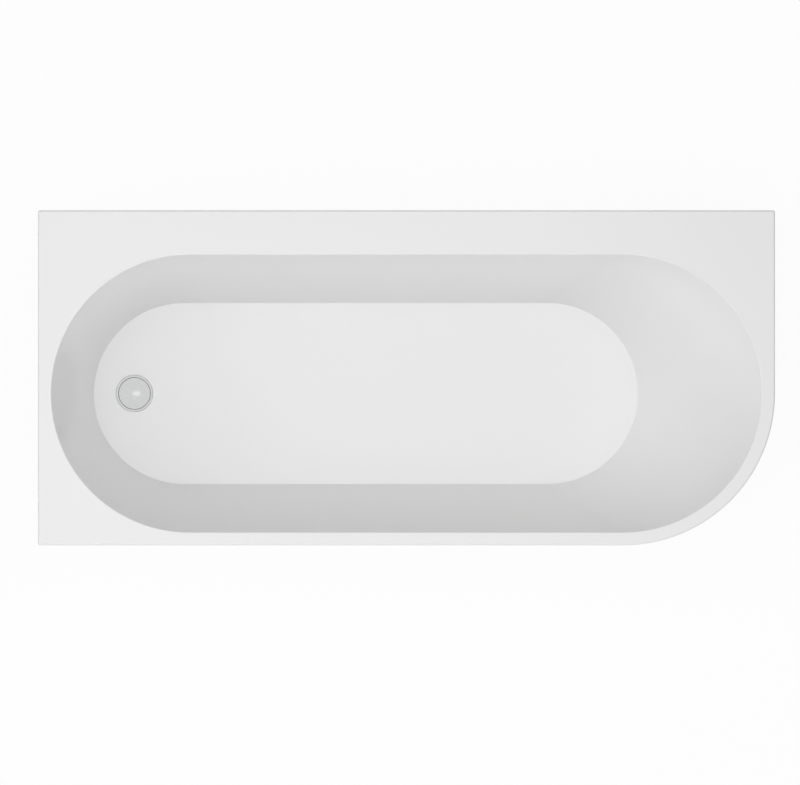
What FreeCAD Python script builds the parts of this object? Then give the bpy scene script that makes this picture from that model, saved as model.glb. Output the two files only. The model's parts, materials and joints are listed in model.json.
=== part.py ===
import FreeCAD
import Part
import math
import os

# A J-shaped corner bath: a moulded white shell with a sloping back rest, a
# curved apron panel on its two open sides, a welded frame on screw feet, and
# a push-to-close waste with its trap.
# Millimetres. +X runs from the waste end to the back rest, +Y to the back
# wall, +Z up. The origin is on the floor, under the middle of the rim.

Vector = FreeCAD.Vector
X_AXIS = Vector(1, 0, 0)
Y_AXIS = Vector(0, 1, 0)
Z_AXIS = Vector(0, 0, 1)

# Overall size
bath_length = 1650.0
bath_width = 750.0
basin_depth = 430.0
basin_floor_height = 150.0

# Shell: rim, deck and basin
rim_width = 29.0
deck_width = 99.0
rim_lip_depth = 22.0
rim_edge_radius = 4.0
rim_corner_radius = 5.0
acrylic_thickness = 5.0
basin_edge_radius = 4.0
side_run = 107.0
waste_end_run = 92.0
back_rest_run = 275.0
floor_corner_radius = 2.0
floor_fall = 8.0

# Reinforcement under the shell
bond_gap = 0.3
laminate_thickness = 4.0
board_thickness = 16.0
board_side_gap = 33.0
board_corner_radius = 20.0
board_waste_gap = 75.0
board_rest_gap = 102.5
deck_plate_thickness = 15.0
deck_plate_lip_gap = 1.0
deck_plate_basin_gap = 15.0
back_plate_half_length = 500.0
corner_plate_reach = 185.0

# Apron panel
panel_thickness = 5.0
panel_slot_gap = 1.0
panel_tuck = 12.0
panel_floor_gap = 3.0
panel_flange_width = 25.0
panel_return_drop = 30.0
panel_return_width = 24.0
keeper_thickness = 6.0
keeper_depth = 25.0
rib_thickness = 15.0
rib_width = 40.0

# Ties between the panel's rib and the frame
tie_width = 30.0
tie_thickness = 3.0
tie_seat = 24.0
tie_front_shares = (0.16, 0.72)

# Frame of square tube
tube_size = 30.0
tube_wall = 2.0
tube_corner_radius = 3.0
rail_rib_gap = 20.0
rail_waste_gap = 45.0
cross_margin = 35.0
plug_depth = 12.0
plug_lip = 2.0
plug_clearance = 0.2

# Screw feet
foot_rail_margin = 30.0
stem_radius = 6.0
stem_clearance = 0.06
stem_reserve = 16.0
stem_hex_flats = 17.0
stem_hex_height = 8.0
stem_hex_gap = 4.0
stem_chamfer = 1.0
foot_hole_radius = 6.6
weld_nut_flats = 19.0
weld_nut_height = 10.0
lock_nut_height = 7.0
pad_radius = 26.0
pad_rim_height = 6.0
pad_neck_radius = 12.0
pad_height = 20.0
pad_socket_floor = 6.0
pad_socket_gap = 0.3
pad_edge_radius = 1.5

# Wood screws and self-tapping screws
screw_radius = 2.4
screw_head_radius = 4.8
screw_head_height = 3.0
screw_head_round = 1.2
screw_slot_width = 1.0
screw_slot_depth = 1.4
screw_bite = 11.0
screw_hole_gap = 0.15

# Wall brackets
bracket_width = 40.0
bracket_thickness = 3.0
bracket_bend_radius = 1.0
bracket_seat = 46.0
bracket_lip_clearance = 6.0
bracket_drop = 46.0
bracket_hole_radius = 3.5
bracket_hole_height = 20.0
bracket_plate_margin = 50.0
side_bracket_y = 220.0
bracket_screw_margin = 10.0

# Waste fitting, measured from the centre of the drain
waste_inset = 91.5
flange_radius = 41.8
flange_drop = 0.5
flange_fall = 0.5
flange_edge_round = 0.8
flange_dish_radius = 36.9
flange_dish_depth = 4.0
flange_dish_floor = 2.5
flange_throat_radius = 20.5
waste_tail_radius = 23.9
waste_tail_length = 48.0
waste_recess_gap = 0.3
waste_hole_gap = 1.1
gasket_thickness = 2.0
gasket_inset = 1.0
lower_gasket_radius = 38.0
lower_gasket_thickness = 3.0
back_nut_radius = 36.0
back_nut_height = 10.0
back_nut_lugs = 8
back_nut_lug_depth = 2.5
back_nut_lug_radius = 5.0
thread_gap = 0.15
spider_depth = 18.0
spider_height = 6.0
spider_bar_width = 5.0
spider_hub_radius = 8.0

# Push-to-close mechanism
cap_radius = 35.7
cap_edge_height = 1.6
cap_dome_rise = 2.4
cap_edge_round = 0.9
cap_under_depth = 1.6
cap_boss_radius = 7.0
cap_boss_depth = 4.0
cap_seal_inner_radius = 25.0
cap_seal_edge_gap = 0.4
cap_seal_gap = 0.2
cartridge_radius = 7.2
cartridge_top_gap = 1.5
cartridge_shank_radius = 5.0
cartridge_shank_length = 26.0
cartridge_bore_radius = 3.6
cartridge_end_wall = 3.0
plunger_radius = 3.4
plunger_length = 26.0
plunger_seat = 2.0
spring_wire_radius = 0.4
spring_coil_radius = 2.8
spring_turns = 6
spring_end_gap = 0.3

# Trap under the waste
trap_pipe_radius = 21.5
trap_pipe_wall = 2.0
trap_bend_radius = 30.0
trap_ground_gap = 16.0
trap_collar_height = 3.0
trap_washer_thickness = 2.0
union_nut_radius = 30.0
union_nut_grip = 20.0
union_nut_floor = 3.0
nut_rib_count = 12
nut_rib_radius = 2.0
socket_bore_radius = 21.8
socket_wall = 3.2
socket_depth = 30.0
outlet_nut_radius = 31.0
outlet_nut_length = 18.0
outlet_nut_lip = 3.0
outlet_seal_thickness = 4.0
outlet_bore_gap = 0.2
cleaning_neck_radius = 13.0
cleaning_cap_radius = 16.0
cleaning_cap_height = 7.0
cleaning_neck_height = 5.0

# One overrun serves every cut
overrun = 2.0

cubic_millimetres_in_litre = 1e6

# Places worked out from the sizes above
half_length = bath_length / 2
half_width = bath_width / 2
bath_height = basin_floor_height + basin_depth
rim_under = bath_height - acrylic_thickness
lip_bottom = bath_height - rim_lip_depth
basin_half_width = (bath_width - rim_width - deck_width) / 2
basin_left = -half_length + rim_width
basin_right = half_length - rim_width
basin_y = (rim_width - deck_width) / 2
side_slope = side_run / basin_depth
waste_end_slope = waste_end_run / basin_depth
back_rest_slope = back_rest_run / basin_depth
free_corner_radius = basin_half_width + rim_width
free_corner_x = half_length - free_corner_radius
free_corner_y = -half_width + free_corner_radius

floor_z = basin_floor_height
floor_left = basin_left + waste_end_run
floor_right = basin_right - back_rest_run
floor_half_width = basin_half_width - side_run
waste_x = floor_left + waste_inset
waste_y = basin_y
fall_angle = math.degrees(math.atan2(floor_fall, floor_right - waste_x))

laminate_offset = acrylic_thickness + bond_gap + laminate_thickness
laminate_bottom = floor_z - laminate_offset
frame_top = laminate_bottom - board_thickness
frame_bottom = frame_top - tube_size
tube_z = (frame_top + frame_bottom) / 2
deck_plate_bottom = rim_under - deck_plate_thickness

panel_outer_inset = acrylic_thickness + panel_slot_gap
panel_inner_inset = panel_outer_inset + panel_thickness
keeper_inset = panel_inner_inset + panel_slot_gap
rib_outer_inset = panel_inner_inset + bond_gap
rib_inner_inset = rib_outer_inset + rib_width

board_left = waste_x + board_waste_gap
board_right = floor_right - board_rest_gap
board_half_width = floor_half_width - board_side_gap
front_rail_y = -half_width + rib_inner_inset + rail_rib_gap + tube_size / 2
back_rail_y = 2 * basin_y - front_rail_y
rail_left = waste_x + rail_waste_gap
rail_corner_y = free_corner_y - front_rail_y + tube_size / 2
rib_curve_reach = math.sqrt((free_corner_radius - rib_inner_inset) ** 2 - rail_corner_y ** 2)
front_rail_right = free_corner_x + rib_curve_reach - rail_rib_gap
back_rail_right = half_length - rib_inner_inset - rail_rib_gap
cross_places = {
    "left": board_left + cross_margin,
    "middle": (board_left + board_right) / 2,
    "right": board_right - cross_margin,
    "end": front_rail_right - tube_size / 2 - plug_lip,
}
foot_places = {
    "front_left": (rail_left + foot_rail_margin, front_rail_y),
    "front_right": (front_rail_right - foot_rail_margin - tube_size / 2, front_rail_y),
    "back_left": (rail_left + foot_rail_margin, back_rail_y),
    "back_right": (front_rail_right - foot_rail_margin - tube_size / 2, back_rail_y),
    "centre": (cross_places["middle"], basin_y),
}

flange_top = floor_z - flange_drop
flange_height = flange_dish_depth + flange_dish_floor
recess_floor = flange_top - flange_height - gasket_thickness
recess_radius = flange_radius + waste_recess_gap
boss_radius = recess_radius + acrylic_thickness
boss_bottom = recess_floor - acrylic_thickness
waste_hole_radius = waste_tail_radius + waste_hole_gap
tail_bottom = flange_top - waste_tail_length
lower_gasket_bottom = boss_bottom - lower_gasket_thickness
spider_top = flange_top - spider_depth

trap_collar_top = tail_bottom - trap_washer_thickness
trap_collar_bottom = trap_collar_top - trap_collar_height
trap_low_y = waste_y + trap_bend_radius
trap_low_z = trap_ground_gap + trap_pipe_wall + cleaning_neck_height
trap_bend_z = trap_low_z + trap_pipe_radius + trap_bend_radius
trap_elbow_y = waste_y + 2 * trap_bend_radius
trap_outlet_z = trap_bend_z + trap_bend_radius
trap_socket_y = trap_elbow_y + trap_bend_radius
trap_mouth_y = trap_socket_y + socket_depth
socket_radius = socket_bore_radius + socket_wall


# Building helpers

def box(x0, x1, y0, y1, z0, z1):
    return Part.makeBox(x1 - x0, y1 - y0, z1 - z0, Vector(x0, y0, z0))


def cylinder(x, y, z0, z1, radius):
    return Part.makeCylinder(radius, z1 - z0, Vector(x, y, z0), Z_AXIS)


def ring(x, y, z0, z1, outer, inner):
    bore = cylinder(x, y, z0 - overrun, z1 + overrun, inner)
    return cylinder(x, y, z0, z1, outer).cut(bore)


def lying_cylinder(x, z, y0, y1, radius):
    return Part.makeCylinder(radius, y1 - y0, Vector(x, y0, z), Y_AXIS)


def prism(wire, height):
    return Part.Face(wire).extrude(Vector(0, 0, height))


def hexagon(x, y, z0, z1, flats):
    corner = flats / math.sqrt(3)
    turn = math.pi / 3
    points = [
        Vector(x + corner * math.cos(i * turn), y + corner * math.sin(i * turn), z0)
        for i in range(7)
    ]
    return prism(Part.makePolygon(points), z1 - z0)


def fused(shapes):
    whole = shapes[0].fuse(shapes[1:])
    return whole.removeSplitter()


def filleted_outline(corners, z):
    """A closed wire through right-angled corners (x, y, radius)."""
    points = [Vector(x, y, z) for x, y, radius in corners]
    count = len(corners)
    entries, exits, arcs = [], [], []
    for i, (x, y, radius) in enumerate(corners):
        here = points[i]
        to_last = (points[i - 1] - here).normalize()
        to_next = (points[(i + 1) % count] - here).normalize()
        entries.append(here + to_last * radius)
        exits.append(here + to_next * radius)
        middle = here + (to_last + to_next) * (radius * (1 - math.sqrt(0.5)))
        if radius > 0:
            arcs.append(Part.Arc(entries[i], middle, exits[i]).toShape())
        else:
            arcs.append(None)
    edges = []
    for i in range(count):
        if arcs[i] is not None:
            edges.append(arcs[i])
        edges.append(Part.makeLine(exits[i], entries[(i + 1) % count]))
    return Part.Wire(edges)


def rim_outline(inset, z):
    """The bath's plan: three square corners and one wide curve."""
    small = max(rim_corner_radius - inset, 0)
    corners = [
        (-half_length + inset, -half_width + inset, small),
        (half_length - inset, -half_width + inset, free_corner_radius - inset),
        (half_length - inset, half_width - inset, small),
        (-half_length + inset, half_width - inset, small),
    ]
    return filleted_outline(corners, z)


def j_strip(outer_inset, inner_inset, z0, z1, end_inset):
    """A strip along the front, round the wide corner and up the open end."""
    start_x = -half_length + end_inset
    end_y = half_width - end_inset
    diagonal = math.sqrt(0.5)

    def stations(inset):
        radius = free_corner_radius - inset
        reach = radius * diagonal
        return [
            Vector(start_x, -half_width + inset, z0),
            Vector(free_corner_x, -half_width + inset, z0),
            Vector(free_corner_x + reach, free_corner_y - reach, z0),
            Vector(half_length - inset, free_corner_y, z0),
            Vector(half_length - inset, end_y, z0),
        ]

    out = stations(outer_inset)
    back = stations(inner_inset)
    edges = [
        Part.makeLine(out[0], out[1]),
        Part.Arc(out[1], out[2], out[3]).toShape(),
        Part.makeLine(out[3], out[4]),
        Part.makeLine(out[4], back[4]),
        Part.makeLine(back[4], back[3]),
        Part.Arc(back[3], back[2], back[1]).toShape(),
        Part.makeLine(back[1], back[0]),
        Part.makeLine(back[0], out[0]),
    ]
    return prism(Part.Wire(edges), z1 - z0)


def stadium(left, right, half, z):
    """Two straight sides and two half circles, as quarter arcs."""
    start, end = left + half, right - half
    low, high = basin_y - half, basin_y + half
    reach = half * math.sqrt(0.5)

    def quarter(a, via, b):
        return Part.Arc(Vector(*a, z), Vector(*via, z), Vector(*b, z)).toShape()

    edges = [
        Part.makeLine(Vector(start, low, z), Vector(end, low, z)),
        quarter((end, low), (end + reach, basin_y - reach), (right, basin_y)),
        quarter((right, basin_y), (end + reach, basin_y + reach), (end, high)),
        Part.makeLine(Vector(end, high, z), Vector(start, high, z)),
        quarter((start, high), (start - reach, basin_y + reach), (left, basin_y)),
        quarter((left, basin_y), (start - reach, basin_y - reach), (start, low)),
    ]
    return Part.Wire(edges)


def basin_section(z, offset):
    """The basin's plan at a height, moved outwards by a wall thickness."""
    drop = bath_height - z
    half = basin_half_width - side_slope * drop + offset * math.hypot(1, side_slope)
    left = basin_left + waste_end_slope * drop - offset * math.hypot(1, waste_end_slope)
    right = basin_right - back_rest_slope * drop + offset * math.hypot(1, back_rest_slope)
    return stadium(left, right, half, z)


def basin_solid(offset, bottom, falls):
    """The space inside a wall of the basin, its floor tilted to the waste."""
    top = basin_section(bath_height + overrun, offset)
    base = basin_section(bottom, offset)
    if falls:
        base.rotate(Vector(waste_x, waste_y, bottom), Y_AXIS, -fall_angle)
    return Part.makeLoft([top, base], True, True)


def spine_distance(point):
    """How far a point is, in plan, from the line the rim's plan is drawn round."""
    start = basin_left + basin_half_width
    end = basin_right - basin_half_width
    along = min(max(point.x, start), end)
    return math.hypot(point.x - along, point.y - basin_y)


def screw(base, direction, length):
    """A pan-head screw; base is under its head, direction into the work."""
    head = Part.makeCylinder(screw_head_radius, screw_head_height, base, direction * -1)
    rim = [e for e in head.Edges if e.Curve.TypeId == "Part::GeomCircle"]
    far = max(rim, key=lambda e: (e.CenterOfMass - base).dot(direction * -1))
    head = head.makeFillet(screw_head_round, [far])
    top = base - direction * screw_head_height
    side = Y_AXIS if abs(direction.z) > 0 else Z_AXIS
    for across in (side, direction.cross(side)):
        other = direction.cross(across)
        corner = top - across * (screw_head_radius / 2) - other * (screw_slot_width / 2)
        slot = Part.makePolygon([
            corner,
            corner + across * screw_head_radius,
            corner + across * screw_head_radius + other * screw_slot_width,
            corner + other * screw_slot_width,
            corner,
        ])
        head = head.cut(Part.Face(slot).extrude(direction * screw_slot_depth))
    return head.fuse(Part.makeCylinder(screw_radius, length, base, direction)).removeSplitter()


def screw_hole(base, direction, length):
    """The clearance hole for a screw's shank."""
    start = base - direction * overrun
    reach = length + overrun + screw_hole_gap
    return Part.makeCylinder(screw_radius + screw_hole_gap, reach, start, direction)


def cut_all(shape, tools):
    for tool in tools:
        shape = shape.cut(tool)
    return shape


# The shell

def tub_shell():
    rim = prism(rim_outline(0, lip_bottom), rim_lip_depth)
    top_edges = [e for e in rim.Edges if e.BoundBox.ZMin > bath_height - overrun / 2]
    rim = rim.makeFillet(rim_edge_radius, top_edges)
    hollow = prism(rim_outline(acrylic_thickness, lip_bottom - overrun),
                   rim_lip_depth - acrylic_thickness + overrun)
    rim = rim.cut(hollow)

    basin = basin_solid(acrylic_thickness, floor_z - acrylic_thickness, True)
    above = box(-bath_length, bath_length, -bath_width, bath_width,
                rim_under + acrylic_thickness / 2, bath_height + bath_height)
    basin = basin.cut(above)
    boss = cylinder(waste_x, waste_y, boss_bottom, floor_z - acrylic_thickness / 2, boss_radius)
    shell = fused([rim, basin, boss])

    cavity = basin_solid(0, floor_z, True)
    foot_edges = [e for e in cavity.Edges if e.BoundBox.ZMax < floor_z + basin_depth / 2]
    cavity = cavity.makeFillet(floor_corner_radius, foot_edges)
    recess_top = floor_z + floor_fall
    recess = cylinder(waste_x, waste_y, recess_floor, recess_top, recess_radius)
    drain = cylinder(waste_x, waste_y, boss_bottom - overrun, recess_top, waste_hole_radius)
    shell = cut_all(shell, [cavity, recess, drain])

    basin_edges = []
    for edge in shell.Edges:
        flat = edge.BoundBox.ZMin > bath_height - overrun / 2
        points = edge.discretize(5)
        close = all(abs(spine_distance(p) - basin_half_width) < rim_width / 2 for p in points)
        if flat and close:
            basin_edges.append(edge)
    return shell.makeFillet(basin_edge_radius, basin_edges)


def laminate_backing():
    outer = basin_solid(laminate_offset, laminate_bottom, False)
    inner = basin_solid(acrylic_thickness + bond_gap,
                        floor_z - acrylic_thickness - bond_gap, True)
    above = box(-bath_length, bath_length, -bath_width, bath_width,
                rim_under - bond_gap, bath_height + bath_height)
    drain = cylinder(waste_x, waste_y, laminate_bottom - overrun, floor_z, boss_radius + bond_gap)
    return cut_all(outer, [inner, above, drain])


# Boards bonded under the shell

def base_board(holes):
    front, back = basin_y - board_half_width, basin_y + board_half_width
    corners = [
        (board_left, front, board_corner_radius),
        (board_right, front, board_corner_radius),
        (board_right, back, board_corner_radius),
        (board_left, back, board_corner_radius),
    ]
    board = prism(filleted_outline(corners, frame_top), board_thickness)
    return cut_all(board, holes)


plate_outer = half_width - acrylic_thickness - deck_plate_lip_gap
plate_left = -half_length + acrylic_thickness + deck_plate_lip_gap
plate_round = basin_half_width + deck_plate_basin_gap
plate_front = -half_width + keeper_inset + keeper_thickness + deck_plate_lip_gap
plate_right = half_length - keeper_inset - keeper_thickness - deck_plate_lip_gap
waste_end_x = basin_left + basin_half_width
rest_end_x = basin_right - basin_half_width


def deck_plate_back(holes):
    plate = box(-back_plate_half_length, back_plate_half_length,
                basin_y + plate_round, plate_outer,
                deck_plate_bottom, rim_under)
    return cut_all(plate, holes)


def corner_plate(x0, x1, y0, y1, centre_x, holes):
    """A plate that fills a square corner of the deck, hollowed for the basin."""
    plate = box(x0, x1, y0, y1, deck_plate_bottom, rim_under)
    hollow = cylinder(centre_x, basin_y, deck_plate_bottom - overrun,
                      rim_under + overrun, plate_round)
    return cut_all(plate.cut(hollow), holes)


def corner_plates(holes):
    low_back = basin_y + corner_plate_reach
    high_front = basin_y - corner_plate_reach
    return {
        "deck_plate_back_left": corner_plate(
            plate_left, -back_plate_half_length - bond_gap, low_back, plate_outer,
            waste_end_x, holes),
        "deck_plate_back_right": corner_plate(
            back_plate_half_length + bond_gap, plate_right, low_back, plate_outer,
            rest_end_x, holes),
        "deck_plate_front_left": corner_plate(
            plate_left, waste_end_x, plate_front, high_front, waste_end_x, holes),
    }


# The apron panel

def apron_panel():
    top = lip_bottom + panel_tuck
    end = panel_outer_inset
    skin = j_strip(panel_outer_inset, panel_inner_inset, panel_floor_gap, top, end)
    flange = j_strip(panel_outer_inset, panel_outer_inset + panel_flange_width,
                     panel_floor_gap, panel_floor_gap + panel_thickness, end)
    return_top = lip_bottom - panel_return_drop
    left_x = -half_length + end
    front_y = -half_width + panel_outer_inset
    left_return = box(left_x, left_x + panel_thickness,
                      front_y, front_y + panel_return_width, panel_floor_gap, return_top)
    right_x = half_length - panel_outer_inset
    back_y = half_width - end
    back_return = box(right_x - panel_return_width, right_x,
                      back_y - panel_thickness, back_y, panel_floor_gap, return_top)
    return fused([skin, flange, left_return, back_return])


def panel_keeper_strip():
    return j_strip(keeper_inset, keeper_inset + keeper_thickness,
                   rim_under - keeper_depth, rim_under,
                   acrylic_thickness + panel_slot_gap)


def panel_lower_rib(holes):
    end = panel_inner_inset + panel_slot_gap
    rib = j_strip(rib_outer_inset, rib_inner_inset, frame_top - rib_thickness, frame_top, end)
    return cut_all(rib, holes)


rib_front_y = -half_width + rib_outer_inset
rib_right_x = half_length - rib_outer_inset
tie_top = frame_top + tie_thickness
tie_front_xs = [
    rail_left + share * (front_rail_right - rail_left) for share in tie_front_shares
]


def tie_screw_bases():
    """Where the ties' screws enter, under their heads: rails first, then the rib."""
    rail = [Vector(x, front_rail_y, tie_top) for x in tie_front_xs]
    rail.append(Vector(back_rail_right - tie_seat, back_rail_y, tie_top))
    rib = [Vector(x, rib_front_y + rib_width / 2, tie_top) for x in tie_front_xs]
    rib.append(Vector(rib_right_x - rib_width / 2, back_rail_y, tie_top))
    return rail, rib


def panel_tie_plates(holes):
    half = tie_width / 2
    plates = [
        box(x - half, x + half, rib_front_y + rib_width / 2 - tie_seat / 2,
            front_rail_y + tube_size / 2, frame_top, tie_top)
        for x in tie_front_xs
    ]
    plates.append(box(back_rail_right - tie_seat - half,
                      rib_right_x - rib_width / 2 + tie_seat / 2,
                      back_rail_y - half, back_rail_y + half, frame_top, tie_top))
    return [cut_all(plate, holes) for plate in plates]


# The frame

def square_bar(start, axis, length, inset, corner):
    """A square bar with round corners from a point on its centre line."""
    half = tube_size / 2 - inset
    across = axis.cross(Z_AXIS)
    points = [
        start + across * (u * half) + Z_AXIS * (v * half)
        for u, v in ((-1, -1), (1, -1), (1, 1), (-1, 1), (-1, -1))
    ]
    bar = Part.Face(Part.makePolygon(points)).extrude(axis * length)
    long_edges = [e for e in bar.Edges if abs(e.tangentAt(0).dot(axis)) > math.sqrt(0.5)]
    return bar.makeFillet(corner, long_edges)


def square_tube(start, axis, length):
    outer = square_bar(start, axis, length, 0, tube_corner_radius)
    bore = square_bar(start - axis * overrun, axis, length + 2 * overrun, tube_wall,
                      tube_corner_radius - tube_wall)
    return outer.cut(bore)


def tube_along_x(x0, x1, y):
    return square_tube(Vector(x0, y, tube_z), X_AXIS, x1 - x0)


def tube_along_y(x, y0, y1):
    return square_tube(Vector(x, y0, tube_z), Y_AXIS, y1 - y0)


def foot_holes():
    return [
        cylinder(x, y, frame_bottom - overrun, frame_bottom + tube_wall + overrun,
                 foot_hole_radius)
        for x, y in foot_places.values()
    ]


def frame_pieces(holes):
    half = tube_size / 2
    pieces = {
        "frame_front_rail": tube_along_x(rail_left, front_rail_right, front_rail_y),
        "frame_back_rail": tube_along_x(rail_left, back_rail_right, back_rail_y),
    }
    for name, x in cross_places.items():
        pieces["frame_cross_" + name] = tube_along_y(x, front_rail_y + half, back_rail_y - half)
    return {name: cut_all(shape, holes) for name, shape in pieces.items()}


def rail_end_plugs():
    plugs = []
    ends = [
        (rail_left, -1, front_rail_y), (front_rail_right, 1, front_rail_y),
        (rail_left, -1, back_rail_y), (back_rail_right, 1, back_rail_y),
    ]
    for x, way, y in ends:
        end = Vector(x, y, tube_z)
        lip = square_bar(end, X_AXIS * way, plug_lip, 0, tube_corner_radius)
        core = square_bar(end, X_AXIS * -way, plug_depth, tube_wall + plug_clearance,
                          tube_corner_radius - tube_wall)
        plugs.append(fused([lip, core]))
    return plugs


def board_screw_bases():
    across = board_half_width - cross_margin
    return [
        Vector(cross_places[name], basin_y + side * across, frame_bottom)
        for name in ("left", "middle", "right")
        for side in (-1, 1)
    ]


# The screw feet

def foot_nuts(z0, z1):
    bore = stem_radius + stem_clearance
    return [
        hexagon(x, y, z0, z1, weld_nut_flats).cut(
            cylinder(x, y, z0 - overrun, z1 + overrun, bore))
        for x, y in foot_places.values()
    ]


def foot_stem(x, y):
    """A screw with a spanner hexagon, standing in the pad's socket."""
    top = frame_bottom + stem_reserve
    shaft = cylinder(x, y, pad_socket_floor, top, stem_radius)
    ends = [e for e in shaft.Edges if e.Curve.TypeId == "Part::GeomCircle"]
    shaft = shaft.makeChamfer(stem_chamfer, ends)
    hex_bottom = pad_height + stem_hex_gap
    collar = hexagon(x, y, hex_bottom, hex_bottom + stem_hex_height, stem_hex_flats)
    return fused([shaft, collar])


def foot_pad(x, y):
    """A round pad with a neck and a blind socket for the screw."""
    socket = stem_radius + pad_socket_gap
    neck_base = (pad_rim_height + pad_height) / 2
    profile = [
        (0, 0), (pad_radius - pad_edge_radius, 0), (pad_radius, pad_edge_radius),
        (pad_radius, pad_rim_height), (pad_neck_radius, neck_base),
        (pad_neck_radius, pad_height), (socket, pad_height),
        (socket, pad_socket_floor), (0, pad_socket_floor), (0, 0),
    ]
    wire = Part.makePolygon([Vector(x + r, y, z) for r, z in profile])
    return Part.Face(wire).revolve(Vector(x, y, 0), Z_AXIS, 360)


# The wall brackets

def wall_bracket_profile():
    """A strip jogged under the lip: depth from the wall, height and bend of each corner."""
    t = bracket_thickness
    hollow = bracket_bend_radius
    round_over = bracket_bend_radius + bracket_thickness
    inner = acrylic_thickness + deck_plate_lip_gap
    top = deck_plate_bottom
    step = lip_bottom - bracket_lip_clearance
    foot = step - bracket_drop
    return [
        (inner + bracket_seat, top, 0), (inner, top, round_over), (inner, step, hollow),
        (0, step, round_over), (0, foot, 0), (t, foot, 0), (t, step - t, hollow),
        (inner + t, step - t, round_over), (inner + t, top - t, hollow),
        (inner + bracket_seat, top - t, 0),
    ]


bracket_hole_z = lip_bottom - bracket_lip_clearance - bracket_drop + bracket_hole_height
back_bracket_x = back_plate_half_length - bracket_plate_margin


def wall_bracket():
    """A bracket on the back wall, centred on the plane x = 0."""
    profile = wall_bracket_profile()
    points = [Vector(-bracket_width / 2, half_width - depth, z) for depth, z, bend in profile]
    strip = Part.Face(Part.makePolygon(points + points[:1])).extrude(X_AXIS * bracket_width)
    for point, (depth, z, bend) in zip(points, profile):
        if bend > 0:
            middle = point + X_AXIS * (bracket_width / 2)
            nearest = min(strip.Edges, key=lambda e: (e.CenterOfMass - middle).Length)
            strip = strip.makeFillet(bend, [nearest])
    hole = lying_cylinder(0, bracket_hole_z, half_width - bracket_thickness - overrun,
                          half_width + overrun, bracket_hole_radius)
    return strip.cut(hole)


def bracket_screw_base(side):
    depth = acrylic_thickness + deck_plate_lip_gap + bracket_seat / 2
    across = side * (bracket_width / 2 - bracket_screw_margin)
    return Vector(across, half_width - depth, deck_plate_bottom - bracket_thickness)


def placed_on_walls(shape):
    """Copies for the two places on the back wall and the one on the side wall."""
    copies = []
    for x in (-back_bracket_x, back_bracket_x):
        copies.append(shape.translated(Vector(x, 0, 0)))
    turned = shape.translated(Vector(0, -half_width, 0))
    turned = turned.rotated(Vector(0, 0, 0), Z_AXIS, 90)
    copies.append(turned.translated(Vector(-half_length, side_bracket_y, 0)))
    return copies


def wall_fixings():
    """The brackets, their screws, and the holes the screws need in the plates."""
    bite = bracket_thickness + screw_bite
    bases = [bracket_screw_base(side) for side in (-1, 1)]
    holes = [screw_hole(base, Z_AXIS, bite) for base in bases]
    brackets = placed_on_walls(cut_all(wall_bracket(), holes))
    screws = [copy for base in bases for copy in placed_on_walls(screw(base, Z_AXIS, bite))]
    plate_holes = [copy for hole in holes for copy in placed_on_walls(hole)]
    return brackets, screws, plate_holes


# The waste

def waste_flange():
    dish_top = flange_top - flange_dish_depth
    under = flange_top - flange_height
    shoulder = flange_top - flange_fall
    crown = Part.makeCone(flange_radius, flange_dish_radius, flange_fall,
                          Vector(waste_x, waste_y, shoulder), Z_AXIS)
    cup = fused([cylinder(waste_x, waste_y, under, shoulder, flange_radius), crown])
    brim = [e for e in cup.Edges
            if e.BoundBox.ZMin > shoulder - flange_fall
            and e.BoundBox.XLength > flange_radius + flange_dish_radius]
    cup = cup.makeFillet(flange_edge_round, brim)
    tail = cylinder(waste_x, waste_y, tail_bottom, under, waste_tail_radius)
    body = fused([cup, tail])
    dish = cylinder(waste_x, waste_y, dish_top, flange_top + overrun, flange_dish_radius)
    throat = cylinder(waste_x, waste_y, tail_bottom - overrun, flange_top, flange_throat_radius)
    body = cut_all(body, [dish, throat])
    spider_bottom = spider_top - spider_height
    half_bar = spider_bar_width / 2
    reach = (flange_throat_radius + waste_tail_radius) / 2
    bars = [
        box(waste_x - reach, waste_x + reach, waste_y - half_bar, waste_y + half_bar,
            spider_bottom, spider_top),
        box(waste_x - half_bar, waste_x + half_bar, waste_y - reach, waste_y + reach,
            spider_bottom, spider_top),
        cylinder(waste_x, waste_y, spider_bottom, spider_top, spider_hub_radius),
    ]
    body = fused([body] + bars)
    return body.cut(cylinder(waste_x, waste_y, spider_bottom - overrun, spider_top + overrun,
                             cartridge_shank_radius + thread_gap))


def waste_flange_gasket():
    return ring(waste_x, waste_y, recess_floor, recess_floor + gasket_thickness,
                flange_radius - gasket_inset, waste_hole_radius)


def waste_lower_gasket():
    return ring(waste_x, waste_y, lower_gasket_bottom, boss_bottom,
                lower_gasket_radius, waste_tail_radius + thread_gap)


def waste_back_nut():
    bottom = lower_gasket_bottom - back_nut_height
    nut = ring(waste_x, waste_y, bottom, lower_gasket_bottom,
               back_nut_radius, waste_tail_radius + thread_gap)
    reach = back_nut_radius + back_nut_lug_radius - back_nut_lug_depth
    for i in range(back_nut_lugs):
        turn = 2 * math.pi * i / back_nut_lugs
        nut = nut.cut(cylinder(waste_x + reach * math.cos(turn), waste_y + reach * math.sin(turn),
                               bottom - overrun, lower_gasket_bottom + overrun,
                               back_nut_lug_radius))
    return nut


cap_under = flange_top - cap_under_depth
cap_boss_bottom = cap_under - cap_boss_depth
plunger_top = cap_under + plunger_seat
plunger_bottom = cap_boss_bottom - plunger_length
cartridge_top = cap_boss_bottom - cartridge_top_gap
cartridge_bottom = spider_top - cartridge_shank_length


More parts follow.
